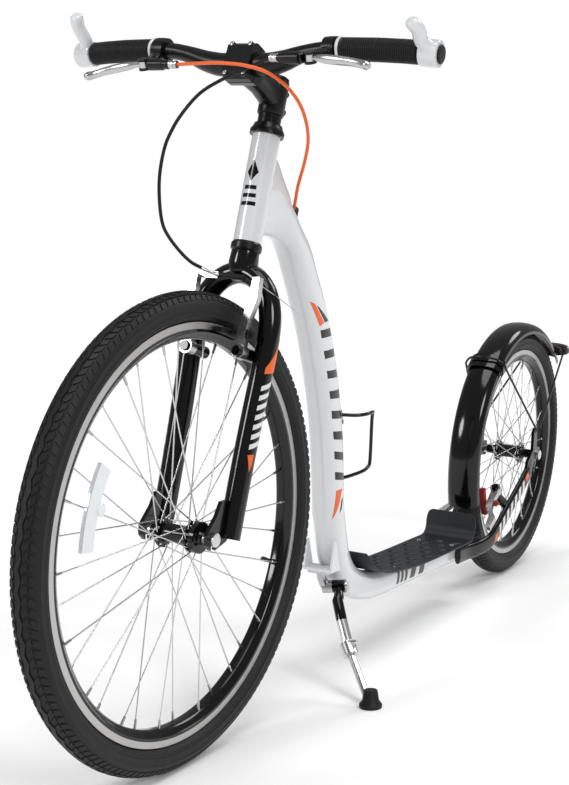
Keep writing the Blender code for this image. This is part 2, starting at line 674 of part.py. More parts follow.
FORK_LINE = [(0.3200, 0.0554), (0.3990, 0.0560), (0.4600, 0.0572), (0.5170, 0.0592), (0.5600, 0.0610),
             (0.5930, 0.0610), (0.6180, 0.0570), (0.6400, 0.0480), (0.6560, 0.0350), (0.6660, 0.0190),
             (0.6700, 0.0)]


def make_fork(mat):
    half = [Vector((leg_x(z), y, z)) for z, y in FORK_LINE]
    line = half + [mirrored(p, -1) for p in reversed(half[:-1])]
    legs = swept(line, (0.0155, 0.0155), 12, (1, 0, 0))
    crown = turned([(0.0130, -0.0560), (0.0190, -0.0430), (0.0208, -0.0300), (0.0196, -0.0140),
                    (STEERER_R, -0.0140), (STEERER_R, 0.2336)], HEAD_LOW, HEAD_AXIS, 20)
    fork = join(legs, crown)
    slot = slot_outline(AXLE_R + GAP)
    edge = [(0.0053, -0.0140), (0.0140, -0.0060), (0.0148, 0.0080), (0.0060, 0.0170), (-0.0080, 0.0300),
            (-0.0200, 0.0480), (-0.0340, 0.0480), (-0.0460, 0.0230), (-0.0460, 0.0020), (-0.0300, -0.0085),
            (-0.0053, -0.0150)]
    for side in (1, -1):
        outline = edge + list(reversed(slot))
        dropout = plate(outline, AXLE_FRONT + Y_AXIS * 0.0530 * side, (1, 0, 0), Z_AXIS, 0.0060)
        fork = join(fork, dropout, brake_boss(FRONT_BRAKE, side, -0.0420))
    add_piece("fork", fork, "steering", mat)


# ---- rim brakes ----
# Middle of each brake between its pivots, the direction up its arms, and its dimensions.
FRONT_BRAKE = {"middle": Vector((1.1826, 0.0, 0.5692)), "up": Vector((-0.290, 0.0, 0.957)).normalized(),
               "out": Vector((0.957, 0.0, 0.290)).normalized(), "pivot_y": 0.0420, "top_y": 0.0505,
               "pad_up": 0.0245, "length": 0.1000}
REAR_BRAKE = {"middle": Vector((0.1606, 0.0, 0.2011)), "up": Vector((0.769, 0.0, -0.639)).normalized(),
              "out": Vector((0.639, 0.0, 0.769)).normalized(), "pivot_y": 0.0360, "top_y": 0.0515,
              "pad_up": 0.0326, "length": 0.0930}
PAD_GAP = 0.0021


def brake_point(brake, y, up, out):
    return brake["middle"] + Y_AXIS * y + brake["up"] * up + brake["out"] * out


def brake_boss(brake, side, start):
    """Fixed pivot: a thick base, a pin through the arm, and a retaining head."""
    profile = [(0.0088, start), (0.0088, -0.0080), (0.0045, -0.0080), (0.0045, 0.0080),
               (0.0075, 0.0080), (0.0066, 0.0112)]
    centre = brake_point(brake, brake["pivot_y"] * side, 0.0, 0.0)
    return turned(profile, centre, brake["out"], 12)


def make_brake_arm(brake, name, hub, side, mat, cradle):
    low_y = brake["pivot_y"]
    top_y = brake["top_y"]
    length = brake["length"]
    rise = brake["pad_up"]
    outline = [(low_y - 0.0065, -0.0020), (low_y - 0.0070, rise), (low_y - 0.0040, rise + 0.0150),
               (top_y - 0.0065, length * 0.74), (top_y - 0.0060, length + 0.0020), (top_y + 0.0050, length + 0.0030),
               (top_y + 0.0070, length * 0.74), (low_y + 0.0085, rise + 0.0180), (low_y + 0.0065, rise),
               (low_y + 0.0085, -0.0020)]
    bar = plate([(y * side, u) for y, u in outline], brake["middle"], Y_AXIS, brake["up"], 0.0110)
    pivot = brake_point(brake, low_y * side, 0.0, 0.0)
    boss = turned([(0.0104, -0.0072), (0.0104, 0.0072)], pivot, brake["out"], 14)
    arm = join(boss, bar)
    if cradle:
        link = plate([(top_y - 0.0030, length - 0.0010), (top_y - 0.0030, length + 0.0085),
                      (top_y - 0.0320, length + 0.0085), (top_y - 0.0320, length - 0.0010)],
                     brake_point(brake, 0, 0, -0.0060), Y_AXIS * side, brake["up"], 0.0032)
        arm = join(arm, link)
    hole = rod(pivot - brake["out"] * 0.02, pivot + brake["out"] * 0.02, 0.0050, 12)
    stud_from = brake_point(brake, (low_y - 0.03) * side, rise, 0.0)
    stud_hole = rod(stud_from, stud_from + Y_AXIS * 0.06 * side, 0.0036, 10)
    add_piece(name, cut(arm, hole, stud_hole), hub, mat)


def make_brake_pad(brake, name, hub, side, axle, mat):
    """Pad that follows the rim, on a threaded stud with a nut outside the arm."""
    face = 0.0139 + PAD_GAP
    middle = brake_point(brake, 0.0, brake["pad_up"], 0.0)
    radial = Vector((middle.x - axle.x, 0.0, middle.z - axle.z))
    radius = radial.length
    radial.normalize()
    along = Vector((radial.z, 0.0, -radial.x))
    rings = []
    for i in range(5):
        angle = (i - 2) / 2 * 0.0290 / radius
        direction = radial * math.cos(angle) + along * math.sin(angle)
        half = 0.0048 if abs(i - 2) < 2 else 0.0036
        ring = []
        for y, r in ((face, half), (face + 0.0085, half), (face + 0.0105, half * 0.6),
                     (face + 0.0105, -half * 0.6), (face + 0.0085, -half), (face, -half)):
            centre = Vector((axle.x, 0.0, axle.z)) + direction * (radius + r)
            ring.append(centre + Y_AXIS * y * side)
        rings.append(ring)
    outside = brake["pivot_y"] + 0.0085
    inside = brake["pivot_y"] - 0.0078
    profile = [(0.0031, face + 0.0090), (0.0031, outside), (0.0062, outside), (0.0062, outside + 0.0045),
               (0.0031, outside + 0.0045), (0.0031, outside + 0.0085)]
    if inside - face > 0.0125:
        profile[1:1] = [(0.0031, face + 0.0112), (0.0064, face + 0.0112), (0.0064, inside), (0.0031, inside)]
    stud = turned(profile, (middle.x, 0.0, middle.z), Y_AXIS * side, 10)
    add_piece(name, join(skin(rings), stud), hub, mat)


def make_brakes(mats):
    sets = (("front", FRONT_BRAKE, AXLE_FRONT, "steering", mats["rubber"]),
            ("rear", REAR_BRAKE, AXLE_REAR, "scooter", mats["pad"]))
    for prefix, brake, axle, parent, pad_mat in sets:
        for side, word in ((1, "left"), (-1, "right")):
            hub = prefix + "_brake_" + word
            add_hub(hub, brake_point(brake, brake["pivot_y"] * side, 0.0, 0.0), parent)
            make_brake_arm(brake, prefix + "_arm_" + word, hub, side, mats["silver"], side < 0)
            make_brake_pad(brake, prefix + "_pad_" + word, hub, side, axle, pad_mat)


def make_noodles(mats):
    brake = FRONT_BRAKE
    front = [brake_point(brake, y, u, k) for y, u, k in ((-0.0365, 0.1085, 0.0100), (-0.0300, 0.1060, 0.0045),
                                                         (-0.0220, 0.1043, 0.0010), (-0.0125, 0.1035, 0.0))]
    add_piece("front_noodle", swept(smooth_path(front, 2), (0.0024, 0.0024), 8, Z_AXIS), "front_brake_right",
              mats["silver"])
    boot = [brake_point(brake, y, u, 0.0) for y, u in ((-0.0118, 0.1034), (0.0060, 0.1026), (0.0290, 0.1015))]
    add_piece("noodle_boot", swept(boot, [(0.0030, 0.0030), (0.0042, 0.0042), (0.0034, 0.0034)], 10, Z_AXIS),
              "front_brake_right", mats["rubber"])
    brake = REAR_BRAKE
    rear = [brake_point(brake, y, u, k) for y, u, k in ((-0.0360, 0.1010, 0.0105), (-0.0300, 0.0985, 0.0045),
                                                        (-0.0220, 0.0965, 0.0010), (-0.0110, 0.0955, 0.0),
                                                        (0.0260, 0.0945, 0.0))]
    add_piece("rear_noodle", swept(smooth_path(rear, 2), (0.0026, 0.0026), 8, Z_AXIS), "rear_brake_right",
              mats["rubber"])


# ---- handlebar ----
BAR_LINE = [
    (0.0, 1.1190, 0.9500, CLAMP_R), (0.0340, 1.1190, 0.9502, CLAMP_R), (0.0480, 1.1190, 0.9520, 0.0154),
    (0.0650, 1.1190, 0.9560, 0.0140), (0.0820, 1.1190, 0.9615, 0.0122), (0.1000, 1.1189, 0.9660, BAR_R),
    (0.1200, 1.1186, 0.9688, BAR_R), (0.1475, 1.1177, 0.9700, BAR_R), (0.2000, 1.1138, 0.9694, BAR_R),
    (0.2400, 1.1103, 0.9676, BAR_R), (0.2740, 1.1072, 0.9650, BAR_R), (0.2866, 1.1061, 0.9640, BAR_R),
]


def bar_at(y):
    """Point on the bar's centre line at a given distance from the middle."""
    for low, high in zip(BAR_LINE, BAR_LINE[1:]):
        if y <= high[0]:
            break
    t = (y - low[0]) / (high[0] - low[0])
    return Vector((low[1] + (high[1] - low[1]) * t, y, low[2] + (high[2] - low[2]) * t))


def make_handlebar(mat):
    half = [Vector((x, y, z)) for y, x, z, _ in BAR_LINE]
    sizes = [(r, r) for _, _, _, r in BAR_LINE]
    line = [mirrored(p, -1) for p in reversed(half[1:])] + half
    add_piece("handlebar", swept(line, list(reversed(sizes[1:])) + sizes, 12, (0, 0, 1)), "steering", mat)


def bar_sleeve(side, stations, outers, bore=BAR_R + 0.0005):
    return sleeve([mirrored(bar_at(y), side) for y in stations], bore, outers)


def make_grips(mats):
    tips = {1: (1.1500, 0.2650, 1.0030), -1: (1.1470, 0.2650, 1.0170)}
    for side, word in ((1, "left"), (-1, "right")):
        grip = bar_sleeve(side, (0.1462, 0.1495, 0.1505, 0.1535, 0.1545, 0.2000, 0.2400, 0.2592),
                          (0.0150, 0.0150, 0.0178, 0.0178, 0.0155, 0.0155, 0.0155, 0.0157))
        add_piece("grip_" + word, grip, "steering", mats["rubber"])
        band = bar_sleeve(side, (0.2612, 0.2740, 0.2866), (0.0178, 0.0180, 0.0178))
        middle = mirrored(bar_at(0.2752), side)
        tip = mirrored(tips[side], side)
        rise = (tip - middle).normalized()
        horn = swept([middle + rise * 0.0148, middle + rise * 0.0230, middle.lerp(tip, 0.7), tip - rise * 0.0030, tip],
                     [(0.0098, 0.0098), (0.0094, 0.0094), (0.0092, 0.0092), (0.0090, 0.0090), (0.0070, 0.0070)], 10)
        add_piece("bar_end_" + word, join(band, horn), "steering", mats["black"])
        out = (mirrored(bar_at(0.2866), side) - mirrored(bar_at(0.2740), side)).normalized()
        plug = turned([(0.0124, GAP), (0.0124, 0.0022), (0.0095, 0.0040)],
                      mirrored(bar_at(0.2866), side), out, 12)
        add_piece("bar_plug_" + word, plug, "steering", mats["rubber"])


# ---- brake levers ----
LEVER_NORMAL = Vector((0.310, 0.0, 0.951)).normalized()
LEVER_DROP = {1: 0.0, -1: -0.0085}      # the right lever sits a little lower than the left


def lever_point(x, y, z, side):
    return Vector((x, y * side, z + LEVER_DROP[side]))


def lever_pivot(side):
    return lever_point(1.1680, 0.1310, 0.9563, side)


def make_lever_mount(side, word, mat):
    def at(x, y, z):
        return lever_point(x, y, z, side)

    band = bar_sleeve(side, (0.1268, 0.1350, 0.1436), (0.0172, 0.0176, 0.0172))
    drop = Vector((0.0, 0.0, LEVER_DROP[side] * 0.5))
    inner = mirrored(bar_at(0.1350), side) + Vector((0.0142, 0.0, -0.0035)) + drop
    arm = swept([inner, at(1.1500, 0.1310, 0.9610), at(1.1640, 0.1240, 0.9575), at(1.1710, 0.1150, 0.9556)],
                [(0.0085, 0.0072), (0.0085, 0.0074), (0.0085, 0.0076), (0.0080, 0.0076)], 10, Y_AXIS)
    body = swept([at(1.1720, 0.0735, 0.9556), at(1.1720, 0.0860, 0.9556), at(1.1720, 0.0870, 0.9556),
                  at(1.1720, 0.0955, 0.9556), at(1.1720, 0.0965, 0.9556), at(1.1718, 0.1180, 0.9556)],
                 [(0.0052, 0.0052), (0.0052, 0.0052), (0.0064, 0.0064), (0.0064, 0.0064),
                  (0.0078, 0.0078), (0.0082, 0.0082)], 10, Z_AXIS)
    pivot = lever_pivot(side)
    ears = turned([(0.0080, -0.0078), (0.0080, 0.0078)], pivot, LEVER_NORMAL, 12)
    mount = join(band, arm, body, ears)
    corner = [(-0.0095, 0.0145), (-0.0095, -0.0090), (0.0150, -0.0090), (0.0150, 0.0145)]
    across = LEVER_NORMAL.cross(Y_AXIS)
    across = across if across.x > 0 else -across
    slot = plate(corner, pivot, across, Y_AXIS * side, 0.0092)
    cable_bore = rod(at(1.1720, 0.0600, 0.9556), at(1.1720, 0.0780, 0.9556), 0.0029, 12)
    pin = turned([(0.0024, -0.0070), (0.0024, 0.0070)], pivot, LEVER_NORMAL, 10)
    add_piece("lever_mount_" + word, join(cut(mount, slot, cable_bore), pin), "steering", mat)


def make_lever(side, word, mat):
    def at(x, y, z):
        return lever_point(x, y, z, side)

    pivot = lever_pivot(side)
    boss = turned([(0.0065, -0.0042), (0.0065, 0.0042)], pivot, LEVER_NORMAL, 12)
    sag = 0.0 if side > 0 else -0.0060
    blade = swept([at(1.1688, 0.1340, 0.9560), at(1.1710, 0.1430, 0.9552), at(1.1738, 0.1560, 0.9540 + sag * 0.2),
                   at(1.1750, 0.1750, 0.9520 + sag * 0.4), at(1.1742, 0.1950, 0.9500 + sag * 0.7),
                   at(1.1755, 0.2100, 0.9475 + sag), at(1.1775, 0.2190, 0.9455 + sag), at(1.1782, 0.2240, 0.9450 + sag)],
                  [(0.0040, 0.0026), (0.0042, 0.0030), (0.0058, 0.0034), (0.0062, 0.0034),
                   (0.0056, 0.0036), (0.0056, 0.0044), (0.0060, 0.0058), (0.0036, 0.0034)], 10, Z_AXIS)
    bore = turned([(0.0029, -0.02), (0.0029, 0.02)], pivot, LEVER_NORMAL, 10)
    add_piece("lever_" + word, cut(join(boss, blade), bore), "lever_" + word + "_pivot", mat)


# ---- stem ----
BAR_CENTRE = Vector((1.1190, 0.0, 0.9500))
FACE_OUT = Vector((0.9135, 0.0, 0.4067)).normalized()
FACE_UP = Vector((-0.4067, 0.0, 0.9135)).normalized()


def bar_bore():
    return rod((BAR_CENTRE.x, -0.06, BAR_CENTRE.z), (BAR_CENTRE.x, 0.06, BAR_CENTRE.z), CLAMP_R + 0.0006, 20)


def make_stem(mats):
    collar = turned([(0.0180, 0.1830), (0.0188, 0.1850), (0.0188, 0.2310), (0.0180, 0.2330)],
                    HEAD_LOW, HEAD_AXIS, 20)
    start = on_head(0.2080)
    reach = BAR_CENTRE - start
    beam = swept([start + reach * 0.08, start + reach * 0.45, start + reach * 0.80],
                 [(0.0165, 0.0195), (0.0155, 0.0165), (0.0180, 0.0200)], 14, Y_AXIS, 2.6)
    seat = plate([(-0.0005, -0.0265), (-0.0005, 0.0265), (-0.0100, 0.0255), (-0.0200, 0.0180),
                  (-0.0200, -0.0180), (-0.0100, -0.0255)], BAR_CENTRE, FACE_OUT, FACE_UP, 0.0400)
    bolts = [rod(on_head(h) + Vector((-0.0155, y, -0.0047)), on_head(h) + Vector((-0.0235, y, -0.0071)), 0.0048, 12)
             for h, y in ((0.1950, 0.0045), (0.2210, 0.0045))]
    bore = rod(on_head(0.10), on_head(0.30), STEERER_R + 0.0006, 20)
    add_piece("stem", cut(join(beam, collar, seat, *bolts), bore, bar_bore()), "steering", mats["black"])
    face = plate([(0.0010, -0.0265), (0.0110, -0.0265), (0.0205, -0.0195), (0.0205, 0.0195), (0.0110, 0.0265),
                  (0.0010, 0.0265)], BAR_CENTRE, FACE_OUT, FACE_UP, 0.0400)
    heads = [rod(BAR_CENTRE + FACE_OUT * 0.010 + FACE_UP * v + Y_AXIS * y,
                 BAR_CENTRE + FACE_OUT * 0.0195 + FACE_UP * v + Y_AXIS * y, 0.0040, 12)
             for v, y in ((0.0215, 0.0145), (0.0215, -0.0145), (-0.0215, 0.0145), (-0.0215, -0.0145))]
    add_piece("stem_faceplate", cut(join(face, *heads), bar_bore()), "steering", mats["black"])
    cap = turned([(0.0178, 0.2342), (0.0178, 0.2365), (0.0150, 0.2385)], HEAD_LOW, HEAD_AXIS, 20)
    add_piece("stem_cap", cap, "steering", mats["black"])
    spacer = turned([(0.0150, 0.1692), (0.0164, 0.1692), (0.0164, 0.1826), (0.0150, 0.1826)],
                    HEAD_LOW, HEAD_AXIS, 20, loop=True)
    add_piece("headset_spacers", spacer, "steering", mats["black"])


# ---- brake cables ----
FRONT_ROUTE = [
    (1.1720, 0.0730, 0.9556), (1.1680, 0.0538, 0.9497), (1.1665, 0.0286, 0.9405), (1.1710, 0.0053, 0.9307),
    (1.1830, -0.0270, 0.9100), (1.1900, -0.0526, 0.8811), (1.1940, -0.0679, 0.8554), (1.1960, -0.0764, 0.8330),
    (1.1960, -0.0831, 0.7991), (1.1940, -0.0843, 0.7653), (1.1900, -0.0820, 0.7355), (1.1870, -0.0732, 0.7171),
    (1.1800, -0.0595, 0.6980), (1.1720, -0.0470, 0.6842),
]
REAR_ROUTE = [
    (1.1720, -0.0730, 0.9471), (1.1755, -0.0348, 0.9485), (1.1785, -0.0085, 0.9489), (1.1800, 0.0162, 0.9479),
    (1.1790, 0.0383, 0.9456), (1.1700, 0.0668, 0.9378), (1.1500, 0.0848, 0.9212), (1.1300, 0.0939, 0.9000),
    (1.1080, 0.0923, 0.8764), (1.0800, 0.0797, 0.8511), (1.0530, 0.0591, 0.8235), (1.0280, 0.0346, 0.7898),
]


def to_steered(point):
    """A point fixed on the frame, as the turned steering group sees it."""
    back = Matrix.Rotation(-REST_TURN, 4, HEAD_AXIS)
    return HEAD_LOW + back @ (Vector(point) - HEAD_LOW)


def make_cables(mats):
    end = brake_point(FRONT_BRAKE, -0.0365, 0.1085, 0.0100)
    start = brake_point(FRONT_BRAKE, -0.0300, 0.1060, 0.0045)
    last = end + (end - start).normalized() * 0.0006
    add_cable("front_brake_cable", [Vector(p) for p in FRONT_ROUTE] + [last], 0.0024, "steering", mats["rubber"])
    entry = [to_steered(CABLE_ENTRY + CABLE_ENTRY_AXIS * reach) for reach in (0.0180, 0.0020, -0.0055)]
    add_cable("rear_brake_cable", [Vector(p) for p in REAR_ROUTE] + entry, 0.0024, "steering", mats["orange"])


# ---- assembly ----
REST_TURN = -TURN


def make_hubs():
    root = add_hub("scooter", (0.0, 0.0, 0.0))
    root.location = SHIFT
    root.rotation_euler = (-LEAN, 0.0, 0.0)
    steering = add_hub("steering", HEAD_LOW, "scooter")
    steering.rotation_mode = "QUATERNION"
    steering.rotation_quaternion = Quaternion(HEAD_AXIS, REST_TURN)
    add_hub("front_wheel", AXLE_FRONT, "steering")
    add_hub("rear_wheel", AXLE_REAR, "scooter")
    add_hub("side_stand", STAND_PIVOT, "scooter")
    for side, word in ((1, "left"), (-1, "right")):
        add_hub("lever_" + word + "_pivot", lever_pivot(side), "steering")


def build():
    clear_scene()
    mats = {
        "white": material("gloss_white_paint", (0.86, 0.87, 0.88), 0.22),
        "black": material("gloss_black_paint", (0.012, 0.012, 0.013), 0.25),
        "deck": material("dark_grey_plastic", (0.055, 0.06, 0.07), 0.55),
        "rubber": material("black_rubber", (0.02, 0.02, 0.02), 0.7),
        "tyre": material("tyre_rubber", (0.018, 0.018, 0.018), 0.8),
        "rim": material("rim_aluminium", (0.55, 0.55, 0.56), 0.3, 1.0),
        "steel": material("spoke_steel", (0.62, 0.62, 0.63), 0.28, 1.0),
        "silver": material("polished_aluminium", (0.72, 0.72, 0.73), 0.25, 1.0),
        "orange": material("orange_plastic", (0.85, 0.16, 0.03), 0.45),
        "pad": material("red_rubber", (0.32, 0.02, 0.02), 0.6),
        "clear": material("clear_reflector", (0.7, 0.72, 0.75), 0.12),
    }
    make_hubs()
    make_main_frame(mats["white"])
    make_grommet(mats["rubber"])
    make_headset(mats["black"])
    make_deck(mats["deck"])
    make_rear_stays(mats["black"])
    make_stand_bracket(mats["white"])
    make_stand_mount(mats["silver"])
    make_stand(mats["black"], mats["rubber"])
    make_bottle_cage(mats["black"])
    make_mudguard(mats["black"])
    make_mudguard_bridge(mats["black"])
    make_mudguard_stays(mats["black"])
    make_rear_reflector(mats["rubber"])
    make_wheel("front", AXLE_FRONT, FRONT_R, front_hub_profile(), mats)
    make_wheel("rear", AXLE_REAR, REAR_R, rear_hub_profile(), mats)
    make_wheel_reflector(mats["clear"])
    make_axle("front_axle", AXLE_FRONT, "steering", 0.0420, (0.0500, 0.0560), mats["steel"])
    make_axle("rear_axle", AXLE_REAR, "scooter", 0.0468, (0.0545, 0.0605), mats["steel"])
    make_fork(mats["black"])
    make_brakes(mats)
    make_noodles(mats)
    make_handlebar(mats["black"])
    make_grips(mats)
    make_stem(mats)
    for side, word in ((1, "left"), (-1, "right")):
        make_lever_mount(side, word, mats["black"])
        make_lever(side, word, mats["silver"])
    make_cables(mats)


build()
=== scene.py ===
"""Kick scooter: the look of the model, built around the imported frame."""
import json
import math

import bmesh
import bpy
from mathutils import Matrix, Vector
from mathutils.bvhtree import BVHTree


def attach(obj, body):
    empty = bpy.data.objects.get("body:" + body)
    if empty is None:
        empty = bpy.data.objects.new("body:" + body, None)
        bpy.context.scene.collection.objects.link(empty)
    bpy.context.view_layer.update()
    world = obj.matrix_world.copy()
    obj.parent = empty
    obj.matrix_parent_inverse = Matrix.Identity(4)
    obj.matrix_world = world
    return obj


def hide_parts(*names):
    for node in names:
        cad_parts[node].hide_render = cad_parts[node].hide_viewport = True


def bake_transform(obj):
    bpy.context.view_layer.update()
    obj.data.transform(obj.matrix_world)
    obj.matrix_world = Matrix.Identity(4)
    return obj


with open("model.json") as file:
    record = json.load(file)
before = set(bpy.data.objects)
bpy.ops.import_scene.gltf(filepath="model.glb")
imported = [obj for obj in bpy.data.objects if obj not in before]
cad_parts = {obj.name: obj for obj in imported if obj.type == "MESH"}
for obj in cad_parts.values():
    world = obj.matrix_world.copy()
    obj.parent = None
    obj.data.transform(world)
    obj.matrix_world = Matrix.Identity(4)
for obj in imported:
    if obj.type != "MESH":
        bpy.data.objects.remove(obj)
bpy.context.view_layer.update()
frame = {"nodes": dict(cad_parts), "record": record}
NODES = frame["nodes"]
RECORD = frame["record"]
BODY_OF = {node: body for body, nodes in RECORD["behaviour"]["bodies"].items() for node in nodes}
SLOT_OF = {item["node"]: item["material_slot"] for item in RECORD["subparts"]}

# ---- driving dimensions ----
LEAN = math.radians(2.8)            # resting lean onto the side stand
TURN = math.radians(2.8)            # resting turn of the front wheel to the rider's right
SHIFT = Vector((-0.6680, -0.0433, 0.0))   # puts the bounding box's bottom centre at the origin
GAP = 0.0003                        # clearance between neighbouring solids

FRONT_R = 0.3265                    # outside radius of the front tyre
REAR_R = 0.2500
TYRE_R = 0.0235                     # radius of the tyre's round section
RIM_DROP = 0.0405                   # from the tyre's outside to the rim's edge
AXLE_FRONT = Vector((1.2600, 0.0, FRONT_R))
AXLE_REAR = Vector((0.0, 0.0, REAR_R))
AXLE_R = 0.0050
WHEEL_SIDES = 64

HEAD_LOW = Vector((1.1036, 0.0, 0.7104))      # lower end of the head tube, on its axis
HEAD_AXIS = Vector((-0.290, 0.0, 0.957)).normalized()
HEAD_LENGTH = 0.1530
HEAD_R = 0.0197
STEERER_R = 0.0143

BAR_R = 0.0111
BAR_BORE = BAR_R + 0.0005            # bore of whatever slides onto the bar
CLAMP_R = 0.0159
CABLE_R = 0.0024

X_AXIS = Vector((1.0, 0.0, 0.0))
Y_AXIS = Vector((0.0, 1.0, 0.0))
Z_AXIS = Vector((0.0, 0.0, 1.0))
SIDES = ((1, "left"), (-1, "right"))
FINE = 2.6                          # how many times finer than the CAD solids the round forms are


# ---- placing ----
LEANED = Matrix.Translation(SHIFT) @ Matrix.Rotation(-LEAN, 4, "X")
STEERED = (LEANED @ Matrix.Translation(HEAD_LOW) @ Matrix.Rotation(-TURN, 4, HEAD_AXIS)
           @ Matrix.Translation(-HEAD_LOW))
SPACES = {"scooter": LEANED, "steering": STEERED}
HUBS = {}
# Surfaces that painted marks are laid on, kept as their pieces are made.
MARKED = {"main_frame": None, "fork": None, "rear_stay_left": None, "rear_stay_right": None}
# Bodies of the added pieces that stand for no CAD node.
BODY_OF_HUB = {"scooter": "frame", "steering": "steering", "front_wheel": "front_wheel",
               "rear_wheel": "rear_wheel", "front_brake_left": "front_brake_left"}
EDGE_ANGLE = math.radians(40)       # edges sharper than this are bevelled


def add_hub(name, origin, parent):
    """A place to build from: its matrix at rest and its origin in the upright frame."""
    origin = Vector(origin)
    HUBS[name] = (SPACES[parent] @ Matrix.Translation(origin), origin)


def link(obj):
    bpy.context.scene.collection.objects.link(obj)
    return obj


def write_mesh(bm, name):
    mesh = bpy.data.meshes.new(name)
    bm.to_mesh(mesh)
    bm.free()
    return mesh


def finish_mesh(obj, mats, sharp, bevel):
    mesh = obj.data
    for mat in mats:
        mesh.materials.append(mat)
    mesh.shade_smooth()
    mesh.set_sharp_from_angle(angle=math.radians(sharp))
    if bevel:
        modifier = obj.modifiers.new("edge", "BEVEL")
        modifier.width = bevel
        modifier.segments = 2
        modifier.limit_method = "ANGLE"
        modifier.angle_limit = EDGE_ANGLE
        modifier.harden_normals = True


def add_piece(name, bm, hub, mat, sharp=34, bevel=0.0, slot=None, pick=None, between=None):
    """Write a mesh from the upright frame as a piece on its body. A CAD node's name replaces that node.

    pick chooses a material for each face from its centre, measured from the hub's origin. between
    gives two bodies and the points, in the upright frame, where a piece goes from one to the other; these
    are not used, and such a piece goes on no body: its placing is only baked into its mesh.
    """
    matrix, origin = HUBS[hub]
    bmesh.ops.remove_doubles(bm, verts=bm.verts, dist=2e-6)
    if name in MARKED:
        MARKED[name] = BVHTree.FromBMesh(bm)
    bmesh.ops.translate(bm, verts=bm.verts, vec=-origin)
    if pick:
        for face in bm.faces:
            face.material_index = pick(face.calc_center_median())
    is_node = name in NODES
    mesh = write_mesh(bm, name + "_form")
    obj = link(bpy.data.objects.new(name + "_form" if is_node else name, mesh))
    obj.matrix_world = matrix
    finish_mesh(obj, mat if isinstance(mat, (list, tuple)) else [mat], sharp, bevel)
    if between:
        first, second, start, end = between
        tuple(SPACES["steering"] @ Vector(start))
        tuple(SPACES["steering"] @ Vector(end))
        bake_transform(obj)
    else:
        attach(obj, BODY_OF.get(name) or BODY_OF_HUB[hub])
    if is_node:
        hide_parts(name)
    if is_node or slot:
        slot or SLOT_OF[name]
    return obj


def merged(*parts):
    """Several closed shells as one mesh."""
    out = parts[0]
    for part in parts[1:]:
        mesh = write_mesh(part, "work")
        out.from_mesh(mesh)
        bpy.data.meshes.remove(mesh)
    return out


# ---- materials ----
COLOUR_SCALE = 35.0       # how fine the colour variation is
GLOSS_SCALE = COLOUR_SCALE * 2.7
COAT_ROUGHNESS = 0.06
GRAIN_HEIGHT = 0.001
RING_HEIGHT = 0.0003


def ramp(tree, source, low, high):
    node = tree.nodes.new("ShaderNodeMapRange")
    node.inputs["To Min"].default_value = low
    node.inputs["To Max"].default_value = high
    tree.links.new(source, node.inputs["Value"])
    return node.outputs["Result"]


def noise(tree, scale, detail=3.0):
    coords = tree.nodes.new("ShaderNodeTexCoord")
    node = tree.nodes.new("ShaderNodeTexNoise")
    node.inputs["Scale"].default_value = scale
    node.inputs["Detail"].default_value = detail
    tree.links.new(coords.outputs["Object"], node.inputs["Vector"])
    return node.outputs["Fac"]


def add_bump(tree, height, strength, distance):
    bump = tree.nodes.new("ShaderNodeBump")
    bump.inputs["Strength"].default_value = strength
    bump.inputs["Distance"].default_value = distance
    tree.links.new(height, bump.inputs["Height"])
    tree.links.new(bump.outputs["Normal"], tree.nodes["Principled BSDF"].inputs["Normal"])


def surface(name, colour, roughness, metallic=0.0, coat=0.0, vary=0.10, spread=0.05, grain=(900.0, 0.03),
            level=0.5):
    """Principled surface with slight colour and gloss variation and a fine grain.

    vary is the share the colour varies by, spread how far the roughness goes either way, grain the
    bump's scale and strength, and level the specular level.
    """
    mat = bpy.data.materials.new(name)
    mat.use_nodes = True
    tree = mat.node_tree
    shader = tree.nodes["Principled BSDF"]
    shader.inputs["Metallic"].default_value = metallic
    shader.inputs["Specular IOR Level"].default_value = level
    shader.inputs["Coat Weight"].default_value = coat
    shader.inputs["Coat Roughness"].default_value = COAT_ROUGHNESS
    mix = tree.nodes.new("ShaderNodeMix")
    mix.data_type = "RGBA"
    mix.inputs["A"].default_value = (*[c * (1 - vary) for c in colour], 1.0)
    mix.inputs["B"].default_value = (*[min(c * (1 + vary), 1.0) for c in colour], 1.0)
    tree.links.new(noise(tree, COLOUR_SCALE), mix.inputs["Factor"])
    tree.links.new(mix.outputs["Result"], shader.inputs["Base Color"])
    tree.links.new(ramp(tree, noise(tree, GLOSS_SCALE), roughness - spread, roughness + spread),
                   shader.inputs["Roughness"])
    grain_scale, grain_strength = grain
    add_bump(tree, noise(tree, grain_scale, 2.0), grain_strength, GRAIN_HEIGHT)
    return mat


def brushed_rings(name, colour, roughness, pitch):
    """Turned metal: fine rings round the object's own Y axis."""
    mat = surface(name, colour, roughness, 1.0, vary=0.06, spread=0.06)
    tree = mat.node_tree
    coords = tree.nodes.new("ShaderNodeTexCoord")
    split = tree.nodes.new("ShaderNodeSeparateXYZ")
    tree.links.new(coords.outputs["Object"], split.inputs["Vector"])
    flat = tree.nodes.new("ShaderNodeCombineXYZ")
    tree.links.new(split.outputs["X"], flat.inputs["X"])
    tree.links.new(split.outputs["Z"], flat.inputs["Y"])
    length = tree.nodes.new("ShaderNodeVectorMath")
    length.operation = "LENGTH"
    tree.links.new(flat.outputs["Vector"], length.inputs[0])
    wave = tree.nodes.new("ShaderNodeMath")
    wave.operation = "MULTIPLY"
    wave.inputs[1].default_value = 2 * math.pi / pitch
    tree.links.new(length.outputs["Value"], wave.inputs[0])
    sine = tree.nodes.new("ShaderNodeMath")
    sine.operation = "SINE"
    tree.links.new(wave.outputs["Value"], sine.inputs[0])
    add_bump(tree, sine.outputs["Value"], 0.12, RING_HEIGHT)
    return mat


# ---- points and paths ----
def mirrored(point, side):
    return Vector((point[0], point[1] * side, point[2]))


